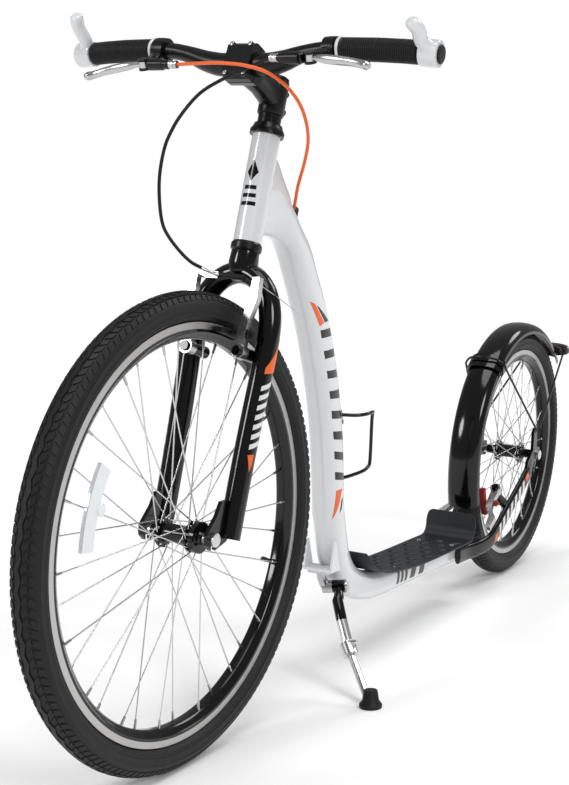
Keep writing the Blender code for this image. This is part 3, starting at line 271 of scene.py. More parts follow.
def there_and_back(half):
    """A path that ends in the middle plane, carried on to the other side."""
    return [Vector(p) for p in half] + [mirrored(p, -1) for p in reversed(half[:-1])]


def both_ways(half):
    """An arch given as (across, height) pairs from its middle outwards, made whole."""
    return [(-y, height) for y, height in reversed(half[1:])] + half


def round_sizes(*radii):
    return [(radius, radius) for radius in radii]


def finer(sides):
    """Sides of a round form, raised to the finer count and kept a multiple of four."""
    return int(math.ceil(sides * FINE / 4.0)) * 4


def smooth_path(points, steps=3):
    """Catmull-Rom curve through the points."""
    pts = [Vector(p) for p in points]
    pts = [pts[0] * 2 - pts[1]] + pts + [pts[-1] * 2 - pts[-2]]
    out = []
    for a, b, c, d in zip(pts, pts[1:], pts[2:], pts[3:]):
        for i in range(steps):
            t = i / steps
            out.append(0.5 * (2 * b + (c - a) * t + (2 * a - 5 * b + 4 * c - d) * t * t
                              + (3 * b - a - 3 * c + d) * t ** 3))
    out.append(pts[-2])
    return out


def smooth_sizes(points, sizes, steps=4):
    """A path and its half axes, both read from smooth curves."""
    pairs = smooth_path([(a, b, 0.0) for a, b in sizes], steps)
    return smooth_path(points, steps), [(p.x, p.y) for p in pairs]


def smooth_rings(rings, steps=3):
    """Closed rings with smooth in-between rings added."""
    tracks = [smooth_path([ring[i] for ring in rings], steps) for i in range(len(rings[0]))]
    return [[track[k] for track in tracks] for k in range(len(tracks[0]))]


def path_frames(points, side):
    """Each point with two directions square to the path, kept free of twist."""
    pts = [Vector(p) for p in points]
    side = Vector(side)
    frames = []
    for i, point in enumerate(pts):
        tangent = (pts[min(i + 1, len(pts) - 1)] - pts[max(i - 1, 0)]).normalized()
        side = (side - tangent * side.dot(tangent)).normalized()
        frames.append((point, side, tangent.cross(side)))
    return frames


def power(value, exponent):
    return math.copysign(abs(value) ** (2.0 / exponent), value)


def section(centre, u, v, sides, exponent=2.0):
    """Closed oval; u and v are the half axes as vectors."""
    ring = []
    for i in range(sides):
        angle = 2 * math.pi * i / sides
        ring.append(centre + u * power(math.cos(angle), exponent) + v * power(math.sin(angle), exponent))
    return ring


# ---- closed solids ----
def skin(rings, loop=False):
    """Join rings of points into one closed solid, with flat ends unless the rings loop round."""
    bm = bmesh.new()
    rows = [[bm.verts.new(p) for p in ring] for ring in rings]
    pairs = list(zip(rows, rows[1:]))
    if loop:
        pairs.append((rows[-1], rows[0]))
    for low, high in pairs:
        count = len(low)
        for i in range(count):
            j = (i + 1) % count
            bm.faces.new((low[i], low[j], high[j], high[i]))
    if not loop:
        bm.faces.new(rows[0])
        bm.faces.new(list(reversed(rows[-1])))
    bmesh.ops.recalc_face_normals(bm, faces=bm.faces)
    return bm


def turned(profile, centre, axis, sides=16, loop=False, start=None):
    """Solid of revolution from (radius, height) pairs along an axis."""
    axis = Vector(axis).normalized()
    sides = finer(sides)
    u = Vector(start) if start else axis.orthogonal()
    u = (u - axis * u.dot(axis)).normalized()
    v = axis.cross(u)
    centre = Vector(centre)
    rings = [section(centre + axis * h, u * r, v * r, sides) for r, h in profile]
    return skin(rings, loop)


def swept(points, sizes, sides=10, side=(0, 1, 0), exponent=2.0):
    """Bar along a path. Sizes are half axes: one pair, or one pair for each point."""
    rings = []
    sides = finer(sides)
    for i, (point, u, v) in enumerate(path_frames(points, side)):
        a, b = sizes[i] if isinstance(sizes, list) else sizes
        rings.append(section(point, u * a, v * b, sides, exponent))
    return skin(rings)


def sleeve(points, inner, outers, sides=12, side=(0, 0, 1)):
    """Tube with a bore, along a path; one outside radius for each point."""
    sides = finer(sides)
    frames = path_frames(points, side)
    rings = [section(p, u * r, v * r, sides) for (p, u, v), r in zip(frames, outers)]
    rings += [section(p, u * inner, v * inner, sides) for p, u, v in reversed(frames)]
    return skin(rings, loop=True)


def plate(outline, origin, u, v, depth):
    """Flat plate: an outline in the u-v plane, given half its depth each way."""
    origin = Vector(origin)
    u = Vector(u).normalized()
    v = Vector(v).normalized()
    normal = u.cross(v).normalized() * (depth / 2)
    flat = [origin + u * a + v * b for a, b in outline]
    return skin([[p - normal for p in flat], [p + normal for p in flat]])


def block(low, high):
    x0, y0, z0 = low
    x1, y1, z1 = high
    ring = [(x0, y0), (x1, y0), (x1, y1), (x0, y1)]
    return skin([[Vector((x, y, z)) for x, y in ring] for z in (z0, z1)])


def rod(start, end, radius, sides=12):
    start = Vector(start)
    end = Vector(end)
    return turned([(radius, 0.0), (radius, (end - start).length)], start, end - start, sides)


def boolean(base, tool, operation):
    """Exact Boolean of two meshes, returned as a new mesh."""
    pair = [link(bpy.data.objects.new("work", write_mesh(bm, "work"))) for bm in (base, tool)]
    modifier = pair[0].modifiers.new("work", "BOOLEAN")
    modifier.operation = operation
    modifier.object = pair[1]
    bpy.context.view_layer.update()
    graph = bpy.context.evaluated_depsgraph_get()
    out = bmesh.new()
    out.from_mesh(pair[0].evaluated_get(graph).to_mesh())
    for obj in pair:
        bpy.data.objects.remove(obj, do_unlink=True)
    return out


def join(base, *others):
    for other in others:
        base = boolean(base, other, "UNION")
    return base


def cut(base, *tools):
    for tool in tools:
        base = boolean(base, tool, "DIFFERENCE")
    return base


def add_cable(name, route, mat, between):
    """Round cable through the given route points, from one body to another."""
    cable = swept(smooth_path(route, 8), (CABLE_R, CABLE_R), 5, (0.2, 0.1, 0.9))
    add_piece(name, cable, "steering", mat, between=between)


# ---- frame ----
def on_head(height):
    return HEAD_LOW + HEAD_AXIS * height


# Rear and front edge of the main tube where it flares into the head tube, then half its width.
HEAD_RIBS = [
    ((1.0663, 0.8295), (1.1005, 0.7165), 0.0180),
    ((1.0445, 0.8300), (1.0600, 0.7180), 0.0190),
    ((1.0300, 0.8090), (1.0390, 0.7150), 0.0200),
    ((1.0145, 0.7870), (1.0225, 0.7095), 0.0210),
    ((0.9985, 0.7650), (1.0090, 0.7015), 0.0218),
    ((0.9815, 0.7425), (0.9960, 0.6900), 0.0223),
]
# Centre line of the main tube and half its depth, from the neck down to the rear of the deck.
TUBE_LINE = [
    (0.9660, 0.6920, 0.0262), (0.9400, 0.6505, 0.0275), (0.9210, 0.6200, 0.0290),
    (0.9020, 0.5880, 0.0302), (0.8740, 0.5240, 0.0310), (0.8515, 0.4600, 0.0310),
    (0.8350, 0.3940, 0.0310), (0.8250, 0.3280, 0.0300), (0.8210, 0.2950, 0.0287),
    (0.8130, 0.2610, 0.0277), (0.8020, 0.2260, 0.0282), (0.7900, 0.1940, 0.0283),
    (0.7680, 0.1650, 0.0275), (0.7370, 0.1425, 0.0262), (0.7000, 0.1285, 0.0252),
    (0.6600, 0.1205, 0.0248), (0.6200, 0.1170, 0.0240), (0.5800, 0.1147, 0.0230),
    (0.5400, 0.1127, 0.0220), (0.4500, 0.1098, 0.0222), (0.3600, 0.1061, 0.0226),
    (0.3000, 0.1042, 0.0228), (0.2850, 0.1038, 0.0228),
]
TUBE_HALF_WIDTH = 0.0225
TUBE_SIDES = 56
CABLE_ENTRY = Vector((0.9960, 0.0130, 0.7530))
CABLE_ENTRY_AXIS = Vector((0.55, 0.42, 0.72)).normalized()


def main_tube_rings():
    rings = []
    for back, front, half_width in HEAD_RIBS:
        b = Vector((back[0], 0.0, back[1]))
        f = Vector((front[0], 0.0, front[1]))
        rings.append(section((b + f) / 2, (f - b) / 2, Y_AXIS * half_width, TUBE_SIDES, 2.4))
    for i, (x, z, half_depth) in enumerate(TUBE_LINE):
        before = TUBE_LINE[max(i - 1, 0)]
        after = TUBE_LINE[min(i + 1, len(TUBE_LINE) - 1)]
        tangent = Vector((after[0] - before[0], 0.0, after[1] - before[1])).normalized()
        front = Vector((-tangent.z, 0.0, tangent.x))
        half = Y_AXIS * TUBE_HALF_WIDTH
        rings.append(section(Vector((x, 0.0, z)), front * half_depth, half, TUBE_SIDES, 2.5))
    return rings


def make_main_frame(mat):
    tube = skin(smooth_rings(main_tube_rings(), 4))
    head = rod(on_head(0.0), on_head(HEAD_LENGTH), HEAD_R, 28)
    bore = rod(on_head(-0.05), on_head(HEAD_LENGTH + 0.05), 0.0153, 20)
    pocket = rod(CABLE_ENTRY - CABLE_ENTRY_AXIS * 0.0085, CABLE_ENTRY + CABLE_ENTRY_AXIS * 0.05, 0.0078)
    add_piece("main_frame", cut(join(tube, head), bore, pocket), "scooter", mat)


def make_grommet(mat):
    profile = [(0.0029, -0.0082), (0.0073, -0.0082), (0.0073, 0.0035), (0.0064, 0.0050), (0.0029, 0.0050)]
    ring = turned(profile, CABLE_ENTRY, CABLE_ENTRY_AXIS, 16, loop=True)
    add_piece("cable_grommet", ring, "scooter", mat)


def make_headset(mat):
    top = HEAD_LENGTH + GAP
    upper = [(0.0150, top), (0.0242, top), (0.0242, top + 0.0065), (0.0212, top + 0.0110),
             (0.0198, top + 0.0155), (0.0150, top + 0.0155)]
    lower = [(0.0150, -GAP), (0.0198, -GAP), (0.0218, -0.0030), (0.0218, -0.0108),
             (0.0192, -0.0135), (0.0150, -0.0135)]
    add_piece("headset_upper_cup", turned(upper, HEAD_LOW, HEAD_AXIS, 20, loop=True), "scooter", mat)
    add_piece("headset_lower_cup", turned(lower, HEAD_LOW, HEAD_AXIS, 20, loop=True), "scooter", mat)


# Top face of the deck from the turned-up heel to the turned-up toe lip: x, z, half width.
DECK_LINE = [
    (0.2965, 0.1780, 0.0390), (0.2968, 0.1730, 0.0465), (0.2978, 0.1600, 0.0500),
    (0.3000, 0.1440, 0.0500), (0.3080, 0.1345, 0.0500), (0.3200, 0.1316, 0.0500),
    (0.3600, 0.1325, 0.0500), (0.5400, 0.1380, 0.0500), (0.6400, 0.1480, 0.0500),
    (0.6720, 0.1525, 0.0500), (0.7000, 0.1600, 0.0485), (0.7200, 0.1730, 0.0430),
    (0.7330, 0.1870, 0.0380), (0.7385, 0.1950, 0.0340),
]
DECK_THICKNESS = 0.0030
DIMPLE_ROWS = [0.352 + 0.0330 * i for i in range(10)]
DIMPLES_WIDE = (-0.0330, 0.0, 0.0330)
DIMPLES_NARROW = (-0.0165, 0.0165)
DECK_SCREWS = [(0.3685, -0.0330), (0.3685, 0.0330), (0.6200, -0.0330), (0.6200, 0.0330)]


def deck_top(x):
    """Height of the deck's top face at a distance along it."""
    for low, high in zip(DECK_LINE, DECK_LINE[1:]):
        if low[0] <= x <= high[0] and low[0] > 0.3:
            return low[1] + (high[1] - low[1]) * (x - low[0]) / (high[0] - low[0])
    return 0.1316


def make_deck(mat, steel):
    points, widths = smooth_sizes([(x, 0.0, z) for x, z, _ in DECK_LINE], [(w, 0.0) for _, _, w in DECK_LINE], 6)
    rings = []
    for (point, side, up), (width, _) in zip(path_frames(points, Y_AXIS), widths):
        down = up * -DECK_THICKNESS
        half = side * width
        rings.append([point - half, point + half, point + half + down, point - half + down])
    add_piece("deck_plate", skin(rings), "scooter", mat, bevel=0.0008)
    bumps = []
    for row, x in enumerate(DIMPLE_ROWS):
        top = Vector((x, 0.0, deck_top(x)))
        for y in DIMPLES_WIDE if row % 2 == 0 else DIMPLES_NARROW:
            bumps.append(turned([(0.0098, -0.0006), (0.0088, 0.0012), (0.0060, 0.0026), (0.0016, 0.0030)],
                                top + Y_AXIS * y, Z_AXIS, 8))
    add_piece("deck_dimples", merged(*bumps), "scooter", mat, sharp=60, slot="deck_grey")
    screws = [turned([(0.0048, -0.0004), (0.0046, 0.0010), (0.0032, 0.0018), (0.0016, 0.0019), (0.0015, 0.0009)],
                     (x, y, deck_top(x)), Z_AXIS, 6) for x, y in DECK_SCREWS]
    add_piece("deck_screws", merged(*screws), "scooter", steel, slot="steel")


STAY_LINE = [
    (0.3250, 0.0292, 0.1015), (0.2850, 0.0310, 0.1010), (0.2450, 0.0400, 0.1030),
    (0.2050, 0.0465, 0.1100), (0.1650, 0.0485, 0.1310), (0.1200, 0.0520, 0.1630),
    (0.0750, 0.0560, 0.1960), (0.0400, 0.0575, 0.2220),
]
DROPOUT_Y = 0.0575


def dropout(edge, axle, y):
    """Plate with an open-ended axle slot: its outer edge is given, the slot's round top is added."""
    radius = AXLE_R + GAP
    top = [(radius * math.cos(math.pi * i / 8), radius * math.sin(math.pi * i / 8)) for i in range(9)]
    return plate(edge + list(reversed(top)), axle + Y_AXIS * y, X_AXIS, Z_AXIS, 0.0060)


def make_rear_stays(mat):
    edge = [(0.0053, -0.0135), (0.0150, -0.0120), (0.0300, -0.0290), (0.0560, -0.0270), (0.0530, -0.0080),
            (0.0260, 0.0130), (0.0270, 0.0480), (0.0220, 0.0560), (0.0130, 0.0560), (0.0090, 0.0480),
            (0.0060, 0.0170), (-0.0100, 0.0150), (-0.0150, 0.0040), (-0.0150, -0.0100), (-0.0053, -0.0150)]
    for side, word in SIDES:
        bar = swept(smooth_path([mirrored(p, side) for p in STAY_LINE], 4), (0.0058, 0.0150), 14, Y_AXIS, 2.6)
        end = dropout(edge, AXLE_REAR, DROPOUT_Y * side)
        lug = swept([mirrored(p, side) for p in ((0.1180, 0.0500, 0.1560), (0.1330, 0.0440, 0.1700),
                                                 (0.1470, REAR_BRAKE["pivot_y"], 0.1848))], (0.0088, 0.0088))
        boss = brake_boss(REAR_BRAKE, side, -0.0250)
        eye = rod((0.0175, side * 0.0500, 0.3000), (0.0175, side * 0.0700, 0.3000), 0.0027, 12)
        stay = cut(join(bar, end, lug, boss), eye)
        add_piece("rear_stay_" + word, stay, "scooter", mat, bevel=0.0006)


# ---- side stand and its bracket ----
STAND_PIVOT = Vector((0.8150, 0.0200, 0.1550))
STAND_AXIS = Vector((-0.20, 0.97, 0.14)).normalized()
STAND_LINE = [(0.8380, 0.0330, 0.1390), (0.8520, 0.0490, 0.1120), (0.8680, 0.0720, 0.0730)]
UP = Vector((0.0, -math.sin(LEAN), math.cos(LEAN)))      # true vertical, seen in the leaning frame
FOOT = Vector((0.9170, 0.1360 * math.cos(LEAN), 0.1360 * math.sin(LEAN)))


def make_stand_bracket(mat):
    floor = block((0.8185, -0.0260, 0.1840), (0.8490, 0.0260, 0.1880))
    outline = [(0.8190, 0.1845), (0.8485, 0.1845), (0.8485, 0.1930), (0.8410, 0.2325), (0.8362, 0.2325)]
    cheeks = [plate(outline, (0, y, 0), X_AXIS, Z_AXIS, 0.0034) for y in (0.0240, -0.0240)]
    add_piece("stand_bracket", join(floor, *cheeks), "scooter", mat, bevel=0.0006)


def make_stand_mount(mat):
    stem = swept([(0.8310, -0.0020, 0.1815), (0.8280, -0.0015, 0.1700), (0.8205, 0.0, 0.1560)], (0.0082, 0.0082))
    barrel = turned([(0.0105, -0.0230), (0.0105, -0.0060), (0.0046, -0.0060), (0.0046, 0.0148),
                     (0.0075, 0.0148), (0.0068, 0.0180)], STAND_PIVOT, STAND_AXIS, 12)
    flange = block((0.8205, -0.0180, 0.1795), (0.8470, 0.0180, 0.1835))
    add_piece("stand_mount", join(flange, stem, barrel), "scooter", mat, bevel=0.0005)


def make_stand(mat, steel, rubber):
    pivot = STAND_PIVOT
    first = Vector(STAND_LINE[0])
    begin = pivot + (first - pivot).normalized() * 0.0060 + STAND_AXIS * 0.0030
    line = [begin, pivot.lerp(first, 0.8) + STAND_AXIS * 0.0022] + [Vector(p) for p in STAND_LINE]
    clamp = line[-1]
    down = (FOOT - clamp).normalized()
    line.append(clamp + down * 0.0120)
    leg = swept(line, round_sizes(0.0064, 0.0085, 0.0088, 0.0088, 0.0088, 0.0088), 12)
    boss = turned([(0.0105, -0.0055), (0.0105, 0.0140)], pivot, STAND_AXIS, 16)
    band = turned([(0.0122, -0.0110), (0.0122, 0.0110)], clamp, down, 16)
    bolt = rod(clamp + Vector((0.0, -0.0090, 0.0105)), clamp + Vector((0.0, 0.0130, 0.0135)), 0.0045, 8)
    bore = rod(pivot - STAND_AXIS * 0.03, pivot + STAND_AXIS * 0.03, 0.0050, 16)
    add_piece("stand_leg", cut(join(boss, leg, band, bolt), bore), "side_stand", [mat, steel], bevel=0.0004,
              pick=lambda point: 0 if point.z > -0.0420 else 1)
    begin = clamp + down * (0.0120 + GAP)
    end = FOOT - down * 0.0135
    add_piece("stand_lower_leg", rod(begin, end, 0.0062, 12), "side_stand", steel)
    profile = [(0.0175, 0.0), (0.0178, 0.0045), (0.0130, 0.0110), (0.0112, 0.0240), (0.0100, 0.0270)]
    foot = turned(profile, FOOT, UP, 14)
    pocket = rod(FOOT - down * 0.0130, FOOT - down * 0.0600, 0.0062 + GAP + 0.0002, 12)
    add_piece("stand_foot", cut(foot, pocket), "side_stand", rubber)


# ---- bottle cage ----
CAGE_SIDE = [
    (0.7996, 0.0050, 0.4300), (0.7900, 0.0260, 0.4300), (0.7780, 0.0370, 0.4310), (0.7620, 0.0400, 0.4320),
    (0.7450, 0.0365, 0.4310), (0.7330, 0.0305, 0.4260), (0.7300, 0.0280, 0.4130), (0.7300, 0.0280, 0.3500),
    (0.7340, 0.0265, 0.3380), (0.7450, 0.0215, 0.3315), (0.7700, 0.0120, 0.3270), (0.7842, 0.0050, 0.3250),
]


def make_bottle_cage(mat):
    half = smooth_path(CAGE_SIDE)
    route = half + [mirrored(p, -1) for p in reversed(half)]
    rings = []
    count = len(route)
    for i, point in enumerate(route):
        tangent = (route[(i + 1) % count] - route[i - 1]).normalized()
        outward = Vector((point.x - 0.7650, point.y, 0.0))
        if abs(tangent.z) < 0.7:
            outward = Z_AXIS.copy()
        u = (outward - tangent * outward.dot(tangent)).normalized()
        rings.append((point, tangent, u))
    fixed = []
    previous = rings[0][2]
    for point, tangent, _ in rings:
        previous = (previous - tangent * previous.dot(tangent)).normalized()
        fixed.append(section(point, previous * 0.0029, tangent.cross(previous) * 0.0029, 12))
    wire = skin(fixed, loop=True)
    spine = plate([(0.8033, 0.4450), (0.8056, 0.4450), (0.7846, 0.3160), (0.7823, 0.3160)],
                  (0, 0, 0), X_AXIS, Z_AXIS, 0.0130)
    bosses = []
    for x, z, nx, nz, reach in ((0.8120, 0.4345, -0.970, 0.243, 0.0105), (0.7957, 0.3346, -0.993, 0.120, 0.0100)):
        face = Vector((x, 0.0, z))
        normal = Vector((nx, 0.0, nz)).normalized()
        bosses.append(rod(face + normal * 0.0006, face + normal * (reach + 0.003), 0.0050, 12))
    clip = block((0.7262, -0.0312, 0.4020), (0.7338, -0.0247, 0.4085))
    add_piece("bottle_cage", join(spine, wire, clip, *bosses), "scooter", mat)


# ---- mudguard ----
def around_rear(radius, degrees, y):
    angle = math.radians(degrees)
    return AXLE_REAR + Vector((radius * math.cos(angle), y, radius * math.sin(angle)))


GUARD_ARCH = both_ways([(0.0, 0.2642), (0.0110, 0.2634), (0.0225, 0.2600), (0.0298, 0.2520), (0.0310, 0.2430)])
BRIDGE_ARCH = both_ways([(0.0, 0.2674), (0.0120, 0.2668), (0.0250, 0.2635), (0.0335, 0.2535), (0.0345, 0.2420)])
GUARD_THICK = 0.0017
BRIDGE_THICK = 0.0018
GUARD_START = -16.0       # degrees up round the rear axle, from level in front of it
GUARD_SPAN = 153.0
GUARD_STEPS = 56
BRIDGE_ENDS = (46.5, 53.5)


def smooth_arch(arch):
    return [(p.x, p.y) for p in smooth_path([(y, r, 0.0) for y, r in arch])]


def make_mudguard(mat):
    rings = []
    arch = smooth_arch(GUARD_ARCH)
    for i in range(GUARD_STEPS + 1):
        degrees = GUARD_START + GUARD_SPAN * i / GUARD_STEPS
        outer = [around_rear(r, degrees, y) for y, r in arch]
        inner = []
        for y, r in reversed(arch):
            inner.append(around_rear(r - (GUARD_THICK if abs(y) < 0.029 else 0.0), degrees,
                                     y - math.copysign(GUARD_THICK if abs(y) > 0.029 else 0.0, y)))
        rings.append(outer + inner)
    add_piece("mudguard", skin(rings), "scooter", mat)


def make_mudguard_bridge(mat):
    start, end = BRIDGE_ENDS
    rings = []
    for y, r in smooth_arch(BRIDGE_ARCH):
        lift_y = math.copysign(BRIDGE_THICK if abs(y) > 0.03 else 0.0, y)
        lift_r = 0.0 if abs(y) > 0.03 else BRIDGE_THICK
        rings.append([around_rear(r, start, y), around_rear(r, end, y),
                      around_rear(r + lift_r, end, y + lift_y), around_rear(r + lift_r, start, y + lift_y)])
    add_piece("mudguard_bridge", skin(rings), "scooter", mat)


def make_mudguard_stays(mat):
    front = [(0.0255, 0.0650, 0.3040), (0.1500, 0.0430, 0.4300), (0.1630, 0.0405, 0.4455),
             (0.1710, 0.0290, 0.4570), (0.1752, 0.0120, 0.4610), (0.1757, 0.0, 0.4615)]
    rear = [(0.0100, 0.0650, 0.3050), (-0.1650, 0.0420, 0.4230), (-0.1775, 0.0400, 0.4360),
            (-0.1840, 0.0290, 0.4500), (-0.1870, 0.0120, 0.4530), (-0.1875, 0.0, 0.4535)]
    for name, half in (("mudguard_stay_front", front), ("mudguard_stay_rear", rear)):
        wire = swept(smooth_path(there_and_back(half), 4), (0.0021, 0.0021), 4, (0.3, 0.0, 0.9))
        add_piece(name, wire, "scooter", mat)


def make_rear_reflector(mat):
    """Wide reflector on a short tongue behind the mudguard's end."""
    centre = Vector((-0.2130, 0.0, 0.4400))
    normal = Vector((-0.985, 0.0, 0.17)).normalized()
    up = Y_AXIS.cross(normal).normalized()
    up = up if up.z > 0 else -up
    rings = []
    for depth, a, b in ((0.0, 0.0375, 0.0085), (0.0020, 0.0420, 0.0125), (0.0095, 0.0430, 0.0135),
                        (0.0120, 0.0405, 0.0115)):
        rings.append(section(centre + normal * depth, Y_AXIS * a, up * b, 20, 2.8))
    tongue = swept([(-0.1965, 0.0, 0.4395), (-0.2070, 0.0, 0.4408), (-0.2160, 0.0, 0.4410)], (0.0100, 0.0020), 8,
                   Y_AXIS, 4.0)
    add_piece("rear_reflector", join(skin(rings), tongue), "scooter", mat)


# ---- wheels ----
def ring_arc(centre_radius, radius, degrees):
    return [(centre_radius + radius * math.cos(math.radians(d)), radius * math.sin(math.radians(d)))
            for d in degrees]


# Sidewall and tread casing: degrees round the tyre's section, then how far it stands above the casing.
CASING = [(127, 0.0), (120, 0.0), (118, 0.0006), (115, 0.0006), (113, 0.0), (104, 0.0), (102, 0.0005), (100, 0.0),
          (90, 0.0), (78, 0.0), (76, 0.0006), (64, 0.0006), (52, 0.0003), (40, 0.0), (30, 0.0), (20, 0.0),
          (10, 0.0), (0, 0.0)]
TREAD_DEPTH = 0.0017


def on_tyre(centre, radius, turn, tilt, reach):
    """Point at an angle round the wheel and an angle round the tyre's section, both in radians."""
    middle = radius - TYRE_R
    out = middle + reach * math.cos(tilt)
    return centre + Vector((out * math.cos(turn), reach * math.sin(tilt), out * math.sin(turn)))


def tread_block(centre, radius, corners):
    """Block standing on the tyre: four (turn, tilt) corners in order."""
    low = [on_tyre(centre, radius, t, a, TYRE_R - TREAD_DEPTH - 0.0006) for t, a in corners]
    mid_t = sum(t for t, _ in corners) / 4
    mid_a = sum(a for _, a in corners) / 4
    high = [on_tyre(centre, radius, mid_t + (t - mid_t) * 0.86, mid_a + (a - mid_a) * 0.86, TYRE_R - 0.0001)
            for t, a in corners]
    return [low, high]


def make_tread(name, hub, centre, radius, mat):
    """Zigzag centre ridge with two staggered rows of slanted blocks on each shoulder."""
    count = int(round(2 * math.pi * radius / 0.0265))
    pitch = 2 * math.pi / count
    bm = bmesh.new()

    def add_block(corners):
        low, high = tread_block(centre, radius, corners)
        a = [bm.verts.new(p) for p in low]
        b = [bm.verts.new(p) for p in high]
        bm.faces.new(a)
        bm.faces.new(b)
        for i in range(4):
            j = (i + 1) % 4
            bm.faces.new((a[i], a[j], b[j], b[i]))

    rows = []
    for i in range(count * 4):
        turn = pitch * i / 4
        sway = (0.0, 0.085, 0.0, -0.085)[i % 4]
        rows.append([bm.verts.new(on_tyre(centre, radius, turn, sway + tilt, TYRE_R - depth))
                     for tilt, depth in ((-0.175, TREAD_DEPTH + 0.0006), (-0.150, 0.0), (0.150, 0.0),
                                         (0.175, TREAD_DEPTH + 0.0006))])
    for i, row in enumerate(rows):
        following = rows[(i + 1) % len(rows)]
        for k in range(4):
            n = (k + 1) % 4
            bm.faces.new((row[k], row[n], following[n], following[k]))
    for side in (1, -1):
        for i in range(count * 2):
            turn = pitch * (i / 2 + (0.25 if side < 0 else 0.0))
            near = 0.275 if i % 2 else 0.235
            slant = 0.28 * pitch
            add_block([(turn, near * side), (turn + pitch * 0.37, near * side),
                       (turn + pitch * 0.37 + slant, 0.58 * side), (turn + slant, 0.58 * side)])
            add_block([(turn + slant * 0.6, 0.64 * side), (turn + slant * 0.6 + pitch * 0.36, 0.64 * side),
                       (turn + pitch * 0.36, 1.02 * side), (turn, 1.02 * side)])
    bmesh.ops.recalc_face_normals(bm, faces=bm.faces)
    add_piece(name, bm, hub, mat, sharp=30, slot="tyre_rubber")


def make_tyre(name, hub, centre, radius, mat):
    """Tyre section open towards the rim, with two beads inside the rim's flanges."""
    edge = radius - RIM_DROP
    middle = radius - TYRE_R
    half = [(a, TYRE_R - TREAD_DEPTH + lift) for a, lift in CASING]
    around = half + [(-a, r) for a, r in reversed(half[:-1])]
    outer = [(middle + r * math.cos(math.radians(a)), r * math.sin(math.radians(a))) for a, r in around]
    inner = ring_arc(middle, 0.0195, (-105, -60, 0, 60, 105))
    bead = [(edge + 0.0006, 0.0108), (edge - 0.0085, 0.0108), (edge - 0.0085, 0.0078), (edge + 0.0020, 0.0085)]
    profile = outer + [(r, -y) for r, y in bead] + inner + list(reversed(bead))
    add_piece(name, turned(profile, centre, Y_AXIS, WHEEL_SIDES, True, -Z_AXIS), hub, mat)
    make_tread(name.replace("tyre", "tread"), hub, centre, radius, mat)


TRACK_WIDTH = 0.0095      # height of the machined braking face
RIM_HALF = 0.0139         # from the wheel's middle plane to the braking face
RIM_BED = 0.0236          # from the rim's edge in to where spokes and valve meet it
VALVE_TURN = 200.0        # degrees round the axle


def make_rim(name, hub, centre, radius, mats):
    """Black box rim with two machined braking faces."""
    edge = radius - RIM_DROP
    half = [(edge - 0.0006, 0.0112), (edge, 0.0117), (edge, 0.0135), (edge - 0.0005, RIM_HALF),
            (edge - TRACK_WIDTH, RIM_HALF), (edge - 0.0134, RIM_HALF), (edge - 0.0138, 0.0136),
            (edge - 0.0141, 0.0132), (edge - 0.0180, 0.0112), (edge - 0.0220, 0.0085),
            (edge - 0.0237, 0.0062), (edge - 0.0240, 0.0035)]
    bed = (edge - 0.0092, 0.0112)
    profile = half + [(r, -y) for r, y in reversed(half)] + [(bed[0], -bed[1]), bed]

    def pick(point):
        reach = math.hypot(point.x, point.z)
        return 0 if reach > edge - TRACK_WIDTH and abs(point.y) > 0.0115 else 1

    add_piece(name, turned(profile, centre, Y_AXIS, WHEEL_SIDES, True, -Z_AXIS), hub,
              [mats["track"], mats["black"]], pick=pick)
    angle = math.radians(VALVE_TURN)
    out = Vector((math.cos(angle), 0.0, math.sin(angle)))
    stem = [(0.0042, 0.0), (0.0042, 0.0030), (0.0030, 0.0045), (0.0030, 0.0240), (0.0036, 0.0245),
            (0.0036, 0.0330), (0.0026, 0.0350)]
    valve = turned(stem, centre + out * (edge - RIM_BED), -out, 6)
    add_piece(name.replace("rim", "valve"), valve, hub, mats["rubber"], slot="black_rubber")


HUB_CIRCLE = 0.0186       # radius of the spoke holes in the hub's flanges
FLANGE_Y = 0.0235
SPOKES = 18               # on each side of a wheel
SPOKE_STEP = 360.0 / SPOKES
SPOKE_SWEEP = 60.0        # degrees between a spoke's ends, seen from the side


def make_spokes(name, hub, centre, radius, side, mats):
    """Wire spokes with elbows, heads and nipples; the two crossing sets lie in separate layers."""
    rim_r = radius - RIM_DROP - RIM_BED
    offset = 10.0 if side < 0 else 0.0
    wires = []
    nipples = []
    for i in range(SPOKES):
        leading = i % 2 == 0
        sense = 1 if leading else -1
        start = math.radians(offset + SPOKE_STEP * i)
        away = start + math.radians(SPOKE_SWEEP * sense)
        layer = 0.0021 * sense
        at_hub = Vector((HUB_CIRCLE * math.cos(start), 0.0, HUB_CIRCLE * math.sin(start)))
        end = Vector((rim_r * math.cos(away), (0.0055 if leading else 0.0035) * side, rim_r * math.sin(away)))
        bend = at_hub + Y_AXIS * (FLANGE_Y * side + layer)
        along = (end - bend).normalized()
        route = [at_hub + Y_AXIS * (FLANGE_Y * side - layer * 1.3),
                 at_hub + Y_AXIS * (FLANGE_Y * side + layer * 0.4),
                 bend + along * 0.0014, bend + along * 0.0080, end]
        wires.append(swept([centre + p for p in route], (0.0010, 0.0010), 2, at_hub))
        wires.append(turned([(0.0017, -0.0006), (0.0019, 0.0), (0.0014, 0.0008)], centre + route[0],
                            Y_AXIS * -layer, 3))
        nipples.append(turned([(0.0011, -0.0130), (0.0017, -0.0125), (0.0020, -0.0030), (0.0020, 0.0010)],
                              centre + end, along, 3))
    add_piece(name, merged(*wires), hub, mats["steel"], sharp=50)
    add_piece(name.replace("spokes", "nipples"), merged(*nipples), hub, mats["silver"], slot="silver_alloy")


